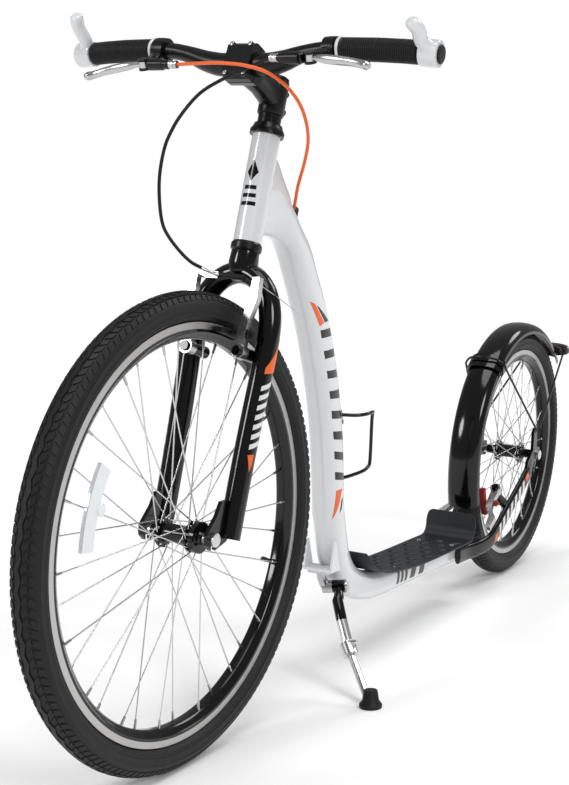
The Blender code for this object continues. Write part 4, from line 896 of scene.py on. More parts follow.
def make_wheel(prefix, centre, radius, hub_profile, mats):
    hub = prefix + "_wheel"
    make_tyre(prefix + "_tyre", hub, centre, radius, mats["tyre"])
    make_rim(prefix + "_rim", hub, centre, radius, mats)
    bored = hub_profile + [(AXLE_R + 0.0006, hub_profile[-1][1]), (AXLE_R + 0.0006, hub_profile[0][1])]
    add_piece(prefix + "_hub", turned(bored, centre, Y_AXIS, 16, True), hub, mats["black"])
    for side, word in SIDES:
        make_spokes(prefix + "_spokes_" + word, hub, centre, radius, side, mats)


def flange(sign):
    pair = [(0.0125, 0.0252), (0.0212, 0.0250), (0.0212, 0.0220), (0.0135, 0.0205)]
    return [(r, h * sign) for r, h in pair]


def front_hub_profile():
    near = [(0.0085, -0.0410), (0.0085, -0.0310), (0.0115, -0.0285)]
    disc_side = [(0.0125, 0.0278), (0.0215, 0.0290), (0.0215, 0.0365), (0.0100, 0.0372), (0.0085, 0.0410)]
    return near + flange(-1) + [(0.0125, 0.0)] + list(reversed(flange(1))) + disc_side


def rear_hub_profile():
    end = [(0.0085, -0.0460), (0.0090, -0.0330), (0.0115, -0.0300)]
    mirrored_end = [(r, -h) for r, h in reversed(end)]
    return end + flange(-1) + [(0.0125, 0.0)] + list(reversed(flange(1))) + mirrored_end


def make_wheel_reflector(mat):
    """Curved reflector clipped across the spokes on the left of the front wheel."""
    outline = []
    for radius, first, span in ((0.2300, 5.5, 28.5), (0.2080, 34.0, -28.5)):
        for i in range(9):
            angle = math.radians(first + span * i / 8)
            outline.append((radius * math.cos(angle), radius * math.sin(angle)))
    arc = plate(outline, AXLE_FRONT + Y_AXIS * 0.0155, X_AXIS, Z_AXIS, 0.0060)
    angle = math.radians(20.0)
    out = Vector((math.cos(angle), 0.0, math.sin(angle)))
    boss = AXLE_FRONT + out * 0.2040 + Y_AXIS * 0.0122
    pad = turned([(0.0085, 0.0), (0.0085, 0.0068), (0.0070, 0.0080)], boss, Y_AXIS, 12)
    add_piece("front_reflector", join(arc, pad), "front_wheel", mat)


def make_axle(name, centre, hub, inner, dropout, mat):
    """Axle with a lock nut inside each dropout and a track nut outside it."""
    low, high = dropout
    half = [(AXLE_R, 0.0), (AXLE_R, inner), (0.0082, inner), (0.0082, low - GAP), (AXLE_R, low - GAP),
            (AXLE_R, high + GAP), (0.0095, high + GAP), (0.0095, high + 0.0052), (0.0062, high + 0.0060)]
    profile = [(r, -h) for r, h in reversed(half[1:])] + half
    add_piece(name, turned(profile, centre, Y_AXIS, 12), hub, mat)


# ---- fork ----
def leg_x(z):
    """The fork legs lie in the plane of the steering axis."""
    return HEAD_LOW.x + (z - HEAD_LOW.z) * HEAD_AXIS.x / HEAD_AXIS.z


FORK_LINE = [(0.3200, 0.0554), (0.3990, 0.0560), (0.4600, 0.0572), (0.5170, 0.0592), (0.5600, 0.0610),
             (0.5930, 0.0610), (0.6180, 0.0570), (0.6400, 0.0480), (0.6560, 0.0350), (0.6660, 0.0190),
             (0.6700, 0.0)]


def make_fork(mat):
    line = there_and_back([Vector((leg_x(z), y, z)) for z, y in FORK_LINE])
    legs = swept(smooth_path(line, 4), (0.0155, 0.0155), 12, X_AXIS)
    crown = turned([(0.0130, -0.0560), (0.0190, -0.0430), (0.0208, -0.0300), (0.0196, -0.0140),
                    (STEERER_R, -0.0140), (STEERER_R, 0.2336)], HEAD_LOW, HEAD_AXIS, 20)
    fork = join(legs, crown)
    edge = [(0.0053, -0.0140), (0.0140, -0.0060), (0.0148, 0.0080), (0.0060, 0.0170), (-0.0080, 0.0300),
            (-0.0200, 0.0480), (-0.0340, 0.0480), (-0.0460, 0.0230), (-0.0460, 0.0020), (-0.0300, -0.0085),
            (-0.0053, -0.0150)]
    for side, _ in SIDES:
        fork = join(fork, dropout(edge, AXLE_FRONT, 0.0530 * side), brake_boss(FRONT_BRAKE, side, -0.0420))
    add_piece("fork", fork, "steering", mat, bevel=0.0006)


# ---- rim brakes ----
# Middle of each brake between its pivots, the direction up its arms, and its dimensions.
FRONT_BRAKE = {"middle": Vector((1.1826, 0.0, 0.5692)), "up": Vector((-0.290, 0.0, 0.957)).normalized(),
               "out": Vector((0.957, 0.0, 0.290)).normalized(), "pivot_y": 0.0420, "top_y": 0.0505,
               "pad_up": 0.0245, "length": 0.1000}
REAR_BRAKE = {"middle": Vector((0.1606, 0.0, 0.2011)), "up": Vector((0.769, 0.0, -0.639)).normalized(),
              "out": Vector((0.639, 0.0, 0.769)).normalized(), "pivot_y": 0.0360, "top_y": 0.0515,
              "pad_up": 0.0326, "length": 0.0930}
PAD_GAP = 0.0021          # from each pad to the rim, at rest


def brake_point(brake, y, up, out):
    return brake["middle"] + Y_AXIS * y + brake["up"] * up + brake["out"] * out


def brake_boss(brake, side, start):
    """Fixed pivot: a thick base, a pin through the arm, and a retaining head."""
    profile = [(0.0088, start), (0.0088, -0.0080), (0.0045, -0.0080), (0.0045, 0.0080),
               (0.0075, 0.0080), (0.0066, 0.0112)]
    centre = brake_point(brake, brake["pivot_y"] * side, 0.0, 0.0)
    return turned(profile, centre, brake["out"], 12)


def make_brake_arm(brake, name, hub, side, mat, cradle):
    low_y = brake["pivot_y"]
    top_y = brake["top_y"]
    length = brake["length"]
    rise = brake["pad_up"]
    outline = [(low_y - 0.0065, -0.0020), (low_y - 0.0070, rise), (low_y - 0.0040, rise + 0.0150),
               (top_y - 0.0065, length * 0.74), (top_y - 0.0060, length + 0.0020),
               (top_y + 0.0050, length + 0.0030), (top_y + 0.0070, length * 0.74),
               (low_y + 0.0085, rise + 0.0180), (low_y + 0.0065, rise),
               (low_y + 0.0085, -0.0020)]
    bar = plate([(y * side, u) for y, u in outline], brake["middle"], Y_AXIS, brake["up"], 0.0110)
    pivot = brake_point(brake, low_y * side, 0.0, 0.0)
    boss = turned([(0.0104, -0.0072), (0.0104, 0.0072)], pivot, brake["out"], 14)
    arm = join(boss, bar)
    if cradle:
        link = plate([(top_y - 0.0030, length - 0.0010), (top_y - 0.0030, length + 0.0085),
                      (top_y - 0.0320, length + 0.0085), (top_y - 0.0320, length - 0.0010)],
                     brake_point(brake, 0, 0, -0.0060), Y_AXIS * side, brake["up"], 0.0032)
        arm = join(arm, link)
    hole = rod(pivot - brake["out"] * 0.02, pivot + brake["out"] * 0.02, 0.0050, 12)
    stud_from = brake_point(brake, (low_y - 0.03) * side, rise, 0.0)
    stud_hole = rod(stud_from, stud_from + Y_AXIS * 0.06 * side, 0.0036, 10)
    add_piece(name, cut(arm, hole, stud_hole), hub, mat, bevel=0.0009)


def make_brake_pad(brake, name, hub, side, axle, mat):
    """Pad that follows the rim, on a threaded stud with a nut outside the arm."""
    face = RIM_HALF + PAD_GAP
    middle = brake_point(brake, 0.0, brake["pad_up"], 0.0)
    radial = Vector((middle.x - axle.x, 0.0, middle.z - axle.z))
    radius = radial.length
    radial.normalize()
    along = Vector((radial.z, 0.0, -radial.x))
    rings = []
    for i in range(5):
        angle = (i - 2) / 2 * 0.0290 / radius
        direction = radial * math.cos(angle) + along * math.sin(angle)
        half = 0.0048 if abs(i - 2) < 2 else 0.0036
        ring = []
        for y, r in ((face, half), (face + 0.0085, half), (face + 0.0105, half * 0.6),
                     (face + 0.0105, -half * 0.6), (face + 0.0085, -half), (face, -half)):
            centre = Vector((axle.x, 0.0, axle.z)) + direction * (radius + r)
            ring.append(centre + Y_AXIS * y * side)
        rings.append(ring)
    outside = brake["pivot_y"] + 0.0085
    inside = brake["pivot_y"] - 0.0078
    profile = [(0.0031, face + 0.0090), (0.0031, outside), (0.0062, outside), (0.0062, outside + 0.0045),
               (0.0031, outside + 0.0045), (0.0031, outside + 0.0085)]
    if inside - face > 0.0125:
        profile[1:1] = [(0.0031, face + 0.0112), (0.0064, face + 0.0112), (0.0064, inside), (0.0031, inside)]
    stud = turned(profile, (middle.x, 0.0, middle.z), Y_AXIS * side, 10)
    add_piece(name, join(skin(rings), stud), hub, mat)


def make_brakes(mats):
    sets = (("front", FRONT_BRAKE, AXLE_FRONT, "steering", mats["rubber"]),
            ("rear", REAR_BRAKE, AXLE_REAR, "scooter", mats["pad"]))
    for prefix, brake, axle, parent, pad_mat in sets:
        for side, word in SIDES:
            hub = prefix + "_brake_" + word
            add_hub(hub, brake_point(brake, brake["pivot_y"] * side, 0.0, 0.0), parent)
            make_brake_arm(brake, prefix + "_arm_" + word, hub, side, mats["silver"], side < 0)
            make_brake_pad(brake, prefix + "_pad_" + word, hub, side, axle, pad_mat)


# Where the front cable meets its noodle, as offsets from the brake's middle: across, up and out.
NOODLE_START = [(-0.0365, 0.1085, 0.0100), (-0.0300, 0.1060, 0.0045)]


def make_noodles(mats):
    front = [brake_point(FRONT_BRAKE, *place) for place in NOODLE_START + [(-0.0220, 0.1043, 0.0010),
                                                                           (-0.0125, 0.1035, 0.0)]]
    add_piece("front_noodle", swept(smooth_path(front, 5), (0.0024, 0.0024), 5, Z_AXIS), "front_brake_right",
              mats["silver"])
    boot = [brake_point(FRONT_BRAKE, y, up, 0.0)
            for y, up in ((-0.0118, 0.1034), (0.0060, 0.1026), (0.0290, 0.1015))]
    add_piece("noodle_boot", swept(boot, round_sizes(0.0030, 0.0042, 0.0034), 10, Z_AXIS),
              "front_brake_right", mats["rubber"])
    rear = [brake_point(REAR_BRAKE, *place) for place in ((-0.0360, 0.1010, 0.0105), (-0.0300, 0.0985, 0.0045),
                                                          (-0.0220, 0.0965, 0.0010), (-0.0110, 0.0955, 0.0),
                                                          (0.0260, 0.0945, 0.0))]
    add_piece("rear_noodle", swept(smooth_path(rear, 5), (0.0026, 0.0026), 5, Z_AXIS), "rear_brake_right",
              mats["rubber"])


# ---- handlebar ----
BAR_LINE = [
    (0.0, 1.1190, 0.9500, CLAMP_R), (0.0340, 1.1190, 0.9502, CLAMP_R), (0.0480, 1.1190, 0.9520, 0.0154),
    (0.0650, 1.1190, 0.9560, 0.0140), (0.0820, 1.1190, 0.9615, 0.0122), (0.1000, 1.1189, 0.9660, BAR_R),
    (0.1200, 1.1186, 0.9688, BAR_R), (0.1475, 1.1177, 0.9700, BAR_R), (0.2000, 1.1138, 0.9694, BAR_R),
    (0.2400, 1.1103, 0.9676, BAR_R), (0.2740, 1.1072, 0.9650, BAR_R), (0.2866, 1.1061, 0.9640, BAR_R),
]
BAR_END = BAR_LINE[-1][0]


def bar_at(y):
    """Point on the bar's centre line at a given distance from the middle."""
    for low, high in zip(BAR_LINE, BAR_LINE[1:]):
        if y <= high[0]:
            break
    t = (y - low[0]) / (high[0] - low[0])
    return Vector((low[1] + (high[1] - low[1]) * t, y, low[2] + (high[2] - low[2]) * t))


def make_handlebar(mat):
    half = [Vector((x, y, z)) for y, x, z, _ in BAR_LINE]
    sizes = round_sizes(*[r for _, _, _, r in BAR_LINE])
    line = [mirrored(p, -1) for p in reversed(half[1:])] + half
    line, sizes = smooth_sizes(line, list(reversed(sizes[1:])) + sizes, 4)
    add_piece("handlebar", swept(line, sizes, 12, Z_AXIS), "steering", mat)


def bar_sleeve(side, stations, outers):
    return sleeve([mirrored(bar_at(y), side) for y in stations], BAR_BORE, outers)


def grip_profile(first, last):
    """Stations and radii of a grip with raised rings."""
    stations = [first, first + 0.0008]
    radii = [0.0150, 0.0157]
    y = first + 0.0035
    while y < last - 0.0035:
        stations += [y, y + 0.0004, y + 0.0015, y + 0.0019]
        radii += [0.0149, 0.0157, 0.0157, 0.0149]
        y += 0.0030
    return stations + [last - 0.0010, last], radii + [0.0158, 0.0150]


def make_grips(mats):
    tips = {1: (1.1500, 0.2650, 1.0030), -1: (1.1470, 0.2650, 1.0170)}
    for side, word in SIDES:
        end = mirrored(bar_at(BAR_END), side)
        add_piece("grip_" + word, bar_sleeve(side, *grip_profile(0.1500, 0.2592)), "steering", mats["rubber"])
        ring = bar_sleeve(side, (0.1462, 0.1468, 0.1490, 0.1496), (0.0158, 0.0166, 0.0166, 0.0158))
        add_piece("grip_ring_" + word, ring, "steering", mats["white"], slot="white_paint")
        band = bar_sleeve(side, (0.2612, 0.2618, 0.2680, 0.2740, 0.2800, 0.2860, 0.2866),
                          (0.0168, 0.0176, 0.0179, 0.0180, 0.0179, 0.0176, 0.0168))
        middle = mirrored(bar_at(0.2752), side)
        tip = mirrored(tips[side], side)
        rise = (tip - middle).normalized()
        horn_line = [middle + rise * 0.0120, middle + rise * 0.0230 - Y_AXIS * 0.0035 * side,
                     middle.lerp(tip, 0.7) + Y_AXIS * 0.0020 * side, tip - rise * 0.0050, tip - rise * 0.0010, tip]
        horn = swept(*smooth_sizes(horn_line, round_sizes(0.0100, 0.0094, 0.0092, 0.0090, 0.0070, 0.0030)), 10)
        clear = rod(mirrored(bar_at(0.2590), side), end, BAR_BORE, 12)
        add_piece("bar_end_" + word, join(band, cut(horn, clear)), "steering", mats["white"])
        bolt = turned([(0.0022, 0.0), (0.0032, 0.0004), (0.0032, 0.0030), (0.0026, 0.0034), (0.0016, 0.0034),
                       (0.0016, 0.0018)], middle - rise * 0.0175 + Vector((0.0040, 0.0, 0.0)), (0.7, 0, -0.7), 5)
        add_piece("bar_end_bolt_" + word, bolt, "steering", mats["steel"], slot="steel")
        out = (end - mirrored(bar_at(0.2740), side)).normalized()
        plug = turned([(0.0124, GAP), (0.0124, 0.0018), (0.0110, 0.0034), (0.0060, 0.0040)], end, out, 12)
        add_piece("bar_plug_" + word, plug, "steering", mats["rubber"])


# ---- brake levers ----
LEVER_NORMAL = Vector((0.310, 0.0, 0.951)).normalized()
LEVER_DROP = {1: 0.0, -1: -0.0085}      # the right lever sits a little lower than the left


def lever_point(x, y, z, side):
    return Vector((x, y * side, z + LEVER_DROP[side]))


def lever_pivot(side):
    return lever_point(1.1680, 0.1310, 0.9563, side)


def make_lever_mount(side, word, mat, silver):
    def at(x, y, z):
        return lever_point(x, y, z, side)

    band = bar_sleeve(side, (0.1268, 0.1350, 0.1436), (0.0172, 0.0176, 0.0172))
    drop = Vector((0.0, 0.0, LEVER_DROP[side] * 0.5))
    inner = mirrored(bar_at(0.1350), side) + Vector((0.0142, 0.0, -0.0035)) + drop
    arm_line = [inner, at(1.1500, 0.1310, 0.9610), at(1.1640, 0.1240, 0.9575), at(1.1710, 0.1150, 0.9556)]
    arm_sizes = [(0.0085, 0.0072), (0.0085, 0.0074), (0.0085, 0.0076), (0.0080, 0.0076)]
    arm = swept(*smooth_sizes(arm_line, arm_sizes), 10, Y_AXIS)
    body_line = [at(1.1720, y, 0.9556) for y in (0.0735, 0.0860, 0.0870, 0.0955, 0.0965)]
    body_line.append(at(1.1718, 0.1180, 0.9556))
    body = swept(body_line, round_sizes(0.0052, 0.0052, 0.0064, 0.0064, 0.0078, 0.0082), 10, Z_AXIS)
    pivot = lever_pivot(side)
    ears = turned([(0.0080, -0.0078), (0.0080, 0.0078)], pivot, LEVER_NORMAL, 12)
    mount = join(band, arm, body, ears)
    corner = [(-0.0095, 0.0145), (-0.0095, -0.0090), (0.0150, -0.0090), (0.0150, 0.0145)]
    across = LEVER_NORMAL.cross(Y_AXIS)
    across = across if across.x > 0 else -across
    slot = plate(corner, pivot, across, Y_AXIS * side, 0.0092)
    cable_bore = rod(at(1.1720, 0.0600, 0.9556), at(1.1720, 0.0780, 0.9556), 0.0029, 12)
    pin = turned([(0.0024, -0.0070), (0.0024, 0.0070)], pivot, LEVER_NORMAL, 10)
    add_piece("lever_mount_" + word, join(cut(mount, slot, cable_bore), pin), "steering", mat)
    barrel = [(0.0030, 0.0), (0.0046, 0.0), (0.0056, 0.0010), (0.0056, 0.0040), (0.0050, 0.0046), (0.0058, 0.0052),
              (0.0058, 0.0118), (0.0053, 0.0122), (0.0030, 0.0122)]
    add_piece("cable_adjuster_" + word, turned(barrel, at(1.1720, 0.0732, 0.9556), Y_AXIS * side, 6, loop=True),
              "steering", silver, slot="silver_alloy")


def make_lever(side, word, mat):
    def at(x, y, z):
        return lever_point(x, y, z, side)

    pivot = lever_pivot(side)
    boss = turned([(0.0065, -0.0042), (0.0065, 0.0042)], pivot, LEVER_NORMAL, 12)
    sag = 0.0 if side > 0 else -0.0060     # the right blade droops more towards its tip
    line = [at(1.1688, 0.1340, 0.9560), at(1.1710, 0.1430, 0.9552), at(1.1738, 0.1560, 0.9540 + sag * 0.2),
            at(1.1750, 0.1750, 0.9520 + sag * 0.4), at(1.1742, 0.1950, 0.9500 + sag * 0.7),
            at(1.1755, 0.2100, 0.9475 + sag), at(1.1775, 0.2190, 0.9455 + sag), at(1.1782, 0.2240, 0.9450 + sag)]
    sizes = [(0.0040, 0.0026), (0.0042, 0.0030), (0.0058, 0.0034), (0.0062, 0.0034),
             (0.0056, 0.0036), (0.0056, 0.0044), (0.0060, 0.0058), (0.0036, 0.0034)]
    blade = swept(*smooth_sizes(line, sizes), 8, Z_AXIS)
    bore = turned([(0.0029, -0.02), (0.0029, 0.02)], pivot, LEVER_NORMAL, 10)
    add_piece("lever_" + word, cut(join(boss, blade), bore), "lever_" + word + "_pivot", mat)


# ---- stem ----
BAR_CENTRE = Vector((1.1190, 0.0, 0.9500))
FACE_OUT = Vector((0.9135, 0.0, 0.4067)).normalized()
FACE_UP = Vector((-0.4067, 0.0, 0.9135)).normalized()


def bar_bore():
    return rod((BAR_CENTRE.x, -0.06, BAR_CENTRE.z), (BAR_CENTRE.x, 0.06, BAR_CENTRE.z), CLAMP_R + 0.0006, 20)


def make_stem(mats):
    collar = turned([(0.0180, 0.1830), (0.0188, 0.1850), (0.0188, 0.2310), (0.0180, 0.2330)],
                    HEAD_LOW, HEAD_AXIS, 20)
    start = on_head(0.2080)
    reach = BAR_CENTRE - start
    beam = swept([start + reach * 0.08, start + reach * 0.45, start + reach * 0.80],
                 [(0.0165, 0.0195), (0.0155, 0.0165), (0.0180, 0.0200)], 14, Y_AXIS, 2.6)
    seat = plate([(-0.0005, -0.0265), (-0.0005, 0.0265), (-0.0100, 0.0255), (-0.0200, 0.0180),
                  (-0.0200, -0.0180), (-0.0100, -0.0255)], BAR_CENTRE, FACE_OUT, FACE_UP, 0.0400)
    bolts = [rod(on_head(height) + Vector((-0.0155, 0.0045, -0.0047)),
                 on_head(height) + Vector((-0.0235, 0.0045, -0.0071)), 0.0048, 12) for height in (0.1950, 0.2210)]
    bore = rod(on_head(0.10), on_head(0.30), STEERER_R + 0.0006, 20)
    stem = cut(join(beam, collar, seat, *bolts), bore, bar_bore())
    add_piece("stem", stem, "steering", mats["satin"], bevel=0.0010)
    face = plate([(0.0010, -0.0265), (0.0110, -0.0265), (0.0205, -0.0195), (0.0205, 0.0195), (0.0110, 0.0265),
                  (0.0010, 0.0265)], BAR_CENTRE, FACE_OUT, FACE_UP, 0.0400)
    spots = [(v, y) for v in (0.0215, -0.0215) for y in (0.0145, -0.0145)]
    heads = [rod(BAR_CENTRE + FACE_OUT * 0.010 + FACE_UP * v + Y_AXIS * y,
                 BAR_CENTRE + FACE_OUT * 0.0195 + FACE_UP * v + Y_AXIS * y, 0.0040, 12)
             for v, y in spots]
    add_piece("stem_faceplate", cut(join(face, *heads), bar_bore()), "steering", mats["satin"], bevel=0.0012)
    sockets = [turned([(0.0030, 0.0), (0.0030, 0.0012), (0.0022, 0.0016), (0.0012, 0.0016), (0.0012, 0.0006)],
                      BAR_CENTRE + FACE_OUT * 0.0195 + FACE_UP * v + Y_AXIS * y, FACE_OUT, 6)
               for v, y in spots]
    add_piece("faceplate_bolts", merged(*sockets), "steering", mats["steel"], slot="steel")
    cap = turned([(0.0178, 0.2342), (0.0178, 0.2365), (0.0150, 0.2385)], HEAD_LOW, HEAD_AXIS, 20)
    add_piece("stem_cap", cap, "steering", mats["satin"])
    spacer = turned([(0.0150, 0.1692), (0.0164, 0.1692), (0.0164, 0.1826), (0.0150, 0.1826)],
                    HEAD_LOW, HEAD_AXIS, 20, loop=True)
    add_piece("headset_spacers", spacer, "steering", mats["satin"])


# ---- brake cables ----
FRONT_ROUTE = [
    (1.1720, 0.0730, 0.9556), (1.1680, 0.0538, 0.9497), (1.1665, 0.0286, 0.9405), (1.1710, 0.0053, 0.9307),
    (1.1830, -0.0270, 0.9100), (1.1900, -0.0526, 0.8811), (1.1940, -0.0679, 0.8554), (1.1960, -0.0764, 0.8330),
    (1.1960, -0.0831, 0.7991), (1.1940, -0.0843, 0.7653), (1.1900, -0.0820, 0.7355), (1.1870, -0.0732, 0.7171),
    (1.1800, -0.0595, 0.6980), (1.1720, -0.0470, 0.6842),
]
REAR_ROUTE = [
    (1.1720, -0.0730, 0.9471), (1.1755, -0.0348, 0.9485), (1.1785, -0.0085, 0.9489), (1.1800, 0.0162, 0.9479),
    (1.1790, 0.0383, 0.9456), (1.1700, 0.0668, 0.9378), (1.1500, 0.0848, 0.9212), (1.1300, 0.0939, 0.9000),
    (1.1080, 0.0923, 0.8764), (1.0800, 0.0797, 0.8511), (1.0530, 0.0591, 0.8235), (1.0280, 0.0346, 0.7898),
]


def to_steered(point):
    """A point fixed on the frame, as the turned steering group sees it."""
    back = Matrix.Rotation(TURN, 4, HEAD_AXIS)
    return HEAD_LOW + back @ (Vector(point) - HEAD_LOW)


def make_cables(mats):
    end, start = [brake_point(FRONT_BRAKE, *place) for place in NOODLE_START]
    last = end + (end - start).normalized() * 0.0006
    add_cable("front_brake_cable", [Vector(p) for p in FRONT_ROUTE] + [last], mats["rubber"],
              ("steering", "front_brake_right", FRONT_ROUTE[-4], last))
    entry = [to_steered(CABLE_ENTRY + CABLE_ENTRY_AXIS * reach) for reach in (0.0180, 0.0020, -0.0055)]
    add_cable("rear_brake_cable", [Vector(p) for p in REAR_ROUTE] + entry, mats["orange"],
              ("steering", "frame", REAR_ROUTE[7], entry[0]))
    tail = smooth_path([brake_point(FRONT_BRAKE, 0.0470, 0.0990, 0.0), (1.1500, 0.0500, 0.6590),
                        (1.1200, 0.0680, 0.6360), (1.0880, 0.0800, 0.6140)], 6)
    add_piece("brake_wire_tail", swept(tail, (0.0007, 0.0007), 2, Z_AXIS), "front_brake_left", mats["steel"],
              slot="steel")


# ---- painted marks ----
MARK_LIFT = 0.0003        # half of a mark's thickness
MARK_STEP = 0.004         # largest gap between a mark's points


def mark(quad, surface_tree, toward):
    """Thin patch laid on a surface: four corners, seen from the side named by toward."""
    a, b, c, d = [Vector(p) for p in quad]
    across = max(1, math.ceil(max((b - a).length, (c - d).length) / MARK_STEP))
    along = max(1, math.ceil(max((d - a).length, (c - b).length) / MARK_STEP))
    bm = bmesh.new()
    top, low = {}, {}
    for i in range(across + 1):
        for j in range(along + 1):
            s, t = i / across, j / along
            point = (a * (1 - s) + b * s) * (1 - t) + (d * (1 - s) + c * s) * t
            hit, normal = surface_tree.ray_cast(point + toward * 0.2, -toward)[:2]
            if hit is None:
                hit, normal = surface_tree.find_nearest(point + toward * 0.03)[:2]
            top[i, j] = bm.verts.new(hit + normal * MARK_LIFT)
            low[i, j] = bm.verts.new(hit - normal * MARK_LIFT)
    for i in range(across):
        for j in range(along):
            for layer in (top, low):
                bm.faces.new((layer[i, j], layer[i + 1, j], layer[i + 1, j + 1], layer[i, j + 1]))
    rim = ([(i, 0) for i in range(across)] + [(across, j) for j in range(along)]
           + [(i, along) for i in range(across, 0, -1)] + [(0, j) for j in range(along, 0, -1)])
    for this, following in zip(rim, rim[1:] + rim[:1]):
        bm.faces.new((top[this], top[following], low[following], low[this]))
    bmesh.ops.recalc_face_normals(bm, faces=bm.faces)
    return bm


def tube_side(place, height):
    """Point in the main tube's middle plane: how far along TUBE_LINE, and -1 to 1 across it."""
    i = min(int(place), len(TUBE_LINE) - 2)
    a, b = Vector(TUBE_LINE[i]), Vector(TUBE_LINE[i + 1])
    x, z, half = a.lerp(b, place - i)
    along = Vector((b.x - a.x, 0.0, b.y - a.y)).normalized()
    return Vector((x, 0.0, z)) + Vector((-along.z, 0.0, along.x)) * half * height


def slanted_bars(first, last, count, low, high, fill, slant):
    """Evenly spaced slanted bars as (place, height) corners."""
    step = (last - first) / count
    bars = []
    for i in range(count):
        a = first + step * i
        b = a + step * fill
        bars.append([(a, low), (b, low), (b + slant, high), (a + slant, high)])
    return bars


TUBE_BLACK = (slanted_bars(3.12, 7.20, 8, 0.47, -0.50, 0.38, 0.16)
              + [[(2.05, 0.34), (2.25, 0.16), (3.08, -0.42), (3.04, -0.02)],
                 [(7.85, -0.34), (7.95, -0.12), (8.50, 0.20), (8.40, -0.05)]])
TUBE_ORANGE = [[(1.65, 0.70), (1.90, 0.44), (3.02, 0.08), (3.02, 0.46)],
               [(7.34, 0.42), (7.40, -0.22), (8.00, 0.12), (8.65, 0.80)]]
DECK_BLACK = slanted_bars(16.85, 18.95, 5, 0.40, -0.80, 0.55, 0.10)
DECK_ORANGE = [[(19.30, -0.30), (19.35, -0.72), (20.30, -0.72), (20.05, -0.30)]]


def on_leg(z, offset):
    return Vector((leg_x(z) + offset, 0.066, z))


def on_stay(place, height):
    """Point on the left rear stay: how far along STAY_LINE, and metres above its middle."""
    i = min(int(place), len(STAY_LINE) - 2)
    a, b = Vector(STAY_LINE[i]), Vector(STAY_LINE[i + 1])
    return a.lerp(b, place - i) + Vector((0.55, 0.0, 0.83)) * height


def placed(shapes, place, side):
    """Shapes given as corners for a placing function, on one side of the scooter."""
    return [[mirrored(place(*corner), side) for corner in shape] for shape in shapes]


def add_marks(name, quads, target, toward, hub, mat, slot):
    patches = [mark(quad, MARKED[target], Vector(toward)) for quad in quads]
    add_piece(name, merged(*patches), hub, mat, sharp=60, slot=slot)


STAY_BARS = slanted_bars(3.65, 6.20, 7, -0.0085, 0.0085, 0.50, 0.22)
STAY_FLASHES = [[(3.05, -0.0085), (3.50, -0.0085), (3.62, 0.0020), (3.35, 0.0020)],
                [(6.35, -0.0020), (6.75, -0.0020), (6.72, 0.0085), (6.45, 0.0085)]]
FORK_BARS = slanted_bars(0.4400, 0.5300, 7, 0.0110, -0.0110, 0.52, 0.0060)
FORK_FLASHES = [[(0.5400, 0.0110), (0.5480, 0.0110), (0.5850, -0.0100), (0.5400, -0.0100)],
                [(0.4100, 0.0050), (0.4330, 0.0110), (0.4330, 0.0020), (0.4200, 0.0020)]]


def make_marks(mats):
    black = (mats["black"], "black_paint")
    white = (mats["white"], "white_paint")
    orange = (mats["orange"], "orange_housing")
    for side, word in SIDES:
        stay = "rear_stay_" + word
        for name, shapes, place, target, hub, paint in (
                ("tube_marks_black_", TUBE_BLACK + DECK_BLACK, tube_side, "main_frame", "scooter", black),
                ("tube_marks_orange_", TUBE_ORANGE + DECK_ORANGE, tube_side, "main_frame", "scooter", orange),
                ("stay_marks_white_", STAY_BARS, on_stay, stay, "scooter", white),
                ("stay_marks_orange_", STAY_FLASHES, on_stay, stay, "scooter", orange),
                ("fork_marks_white_", FORK_BARS, on_leg, "fork", "steering", white),
                ("fork_marks_orange_", FORK_FLASHES, on_leg, "fork", "steering", orange)):
            add_marks(name + word, placed(shapes, place, side), target, (0, side, 0), hub, *paint)
    front = HEAD_AXIS.cross(Y_AXIS) * -1.0

    def at(height, width):
        return on_head(height) + front * HEAD_R + Y_AXIS * width

    badge = [[at(0.0960, -0.0085), at(0.0830, 0.0), at(0.0960, 0.0085), at(0.1130, 0.0)]]
    badge += [[at(h, -w), at(h, w), at(h + 0.0055, w), at(h + 0.0055, -w)]
              for h, w in ((0.0715, 0.0090), (0.0600, 0.0100), (0.0485, 0.0110))]
    add_marks("head_marks", badge, "main_frame", front, "scooter", *black)


# ---- assembly ----
def make_hubs():
    add_hub("scooter", (0.0, 0.0, 0.0), "scooter")
    add_hub("steering", HEAD_LOW, "steering")
    add_hub("front_wheel", AXLE_FRONT, "steering")
    add_hub("rear_wheel", AXLE_REAR, "scooter")
    add_hub("side_stand", STAND_PIVOT, "scooter")
    for side, word in SIDES:
        add_hub("lever_" + word + "_pivot", lever_pivot(side), "steering")


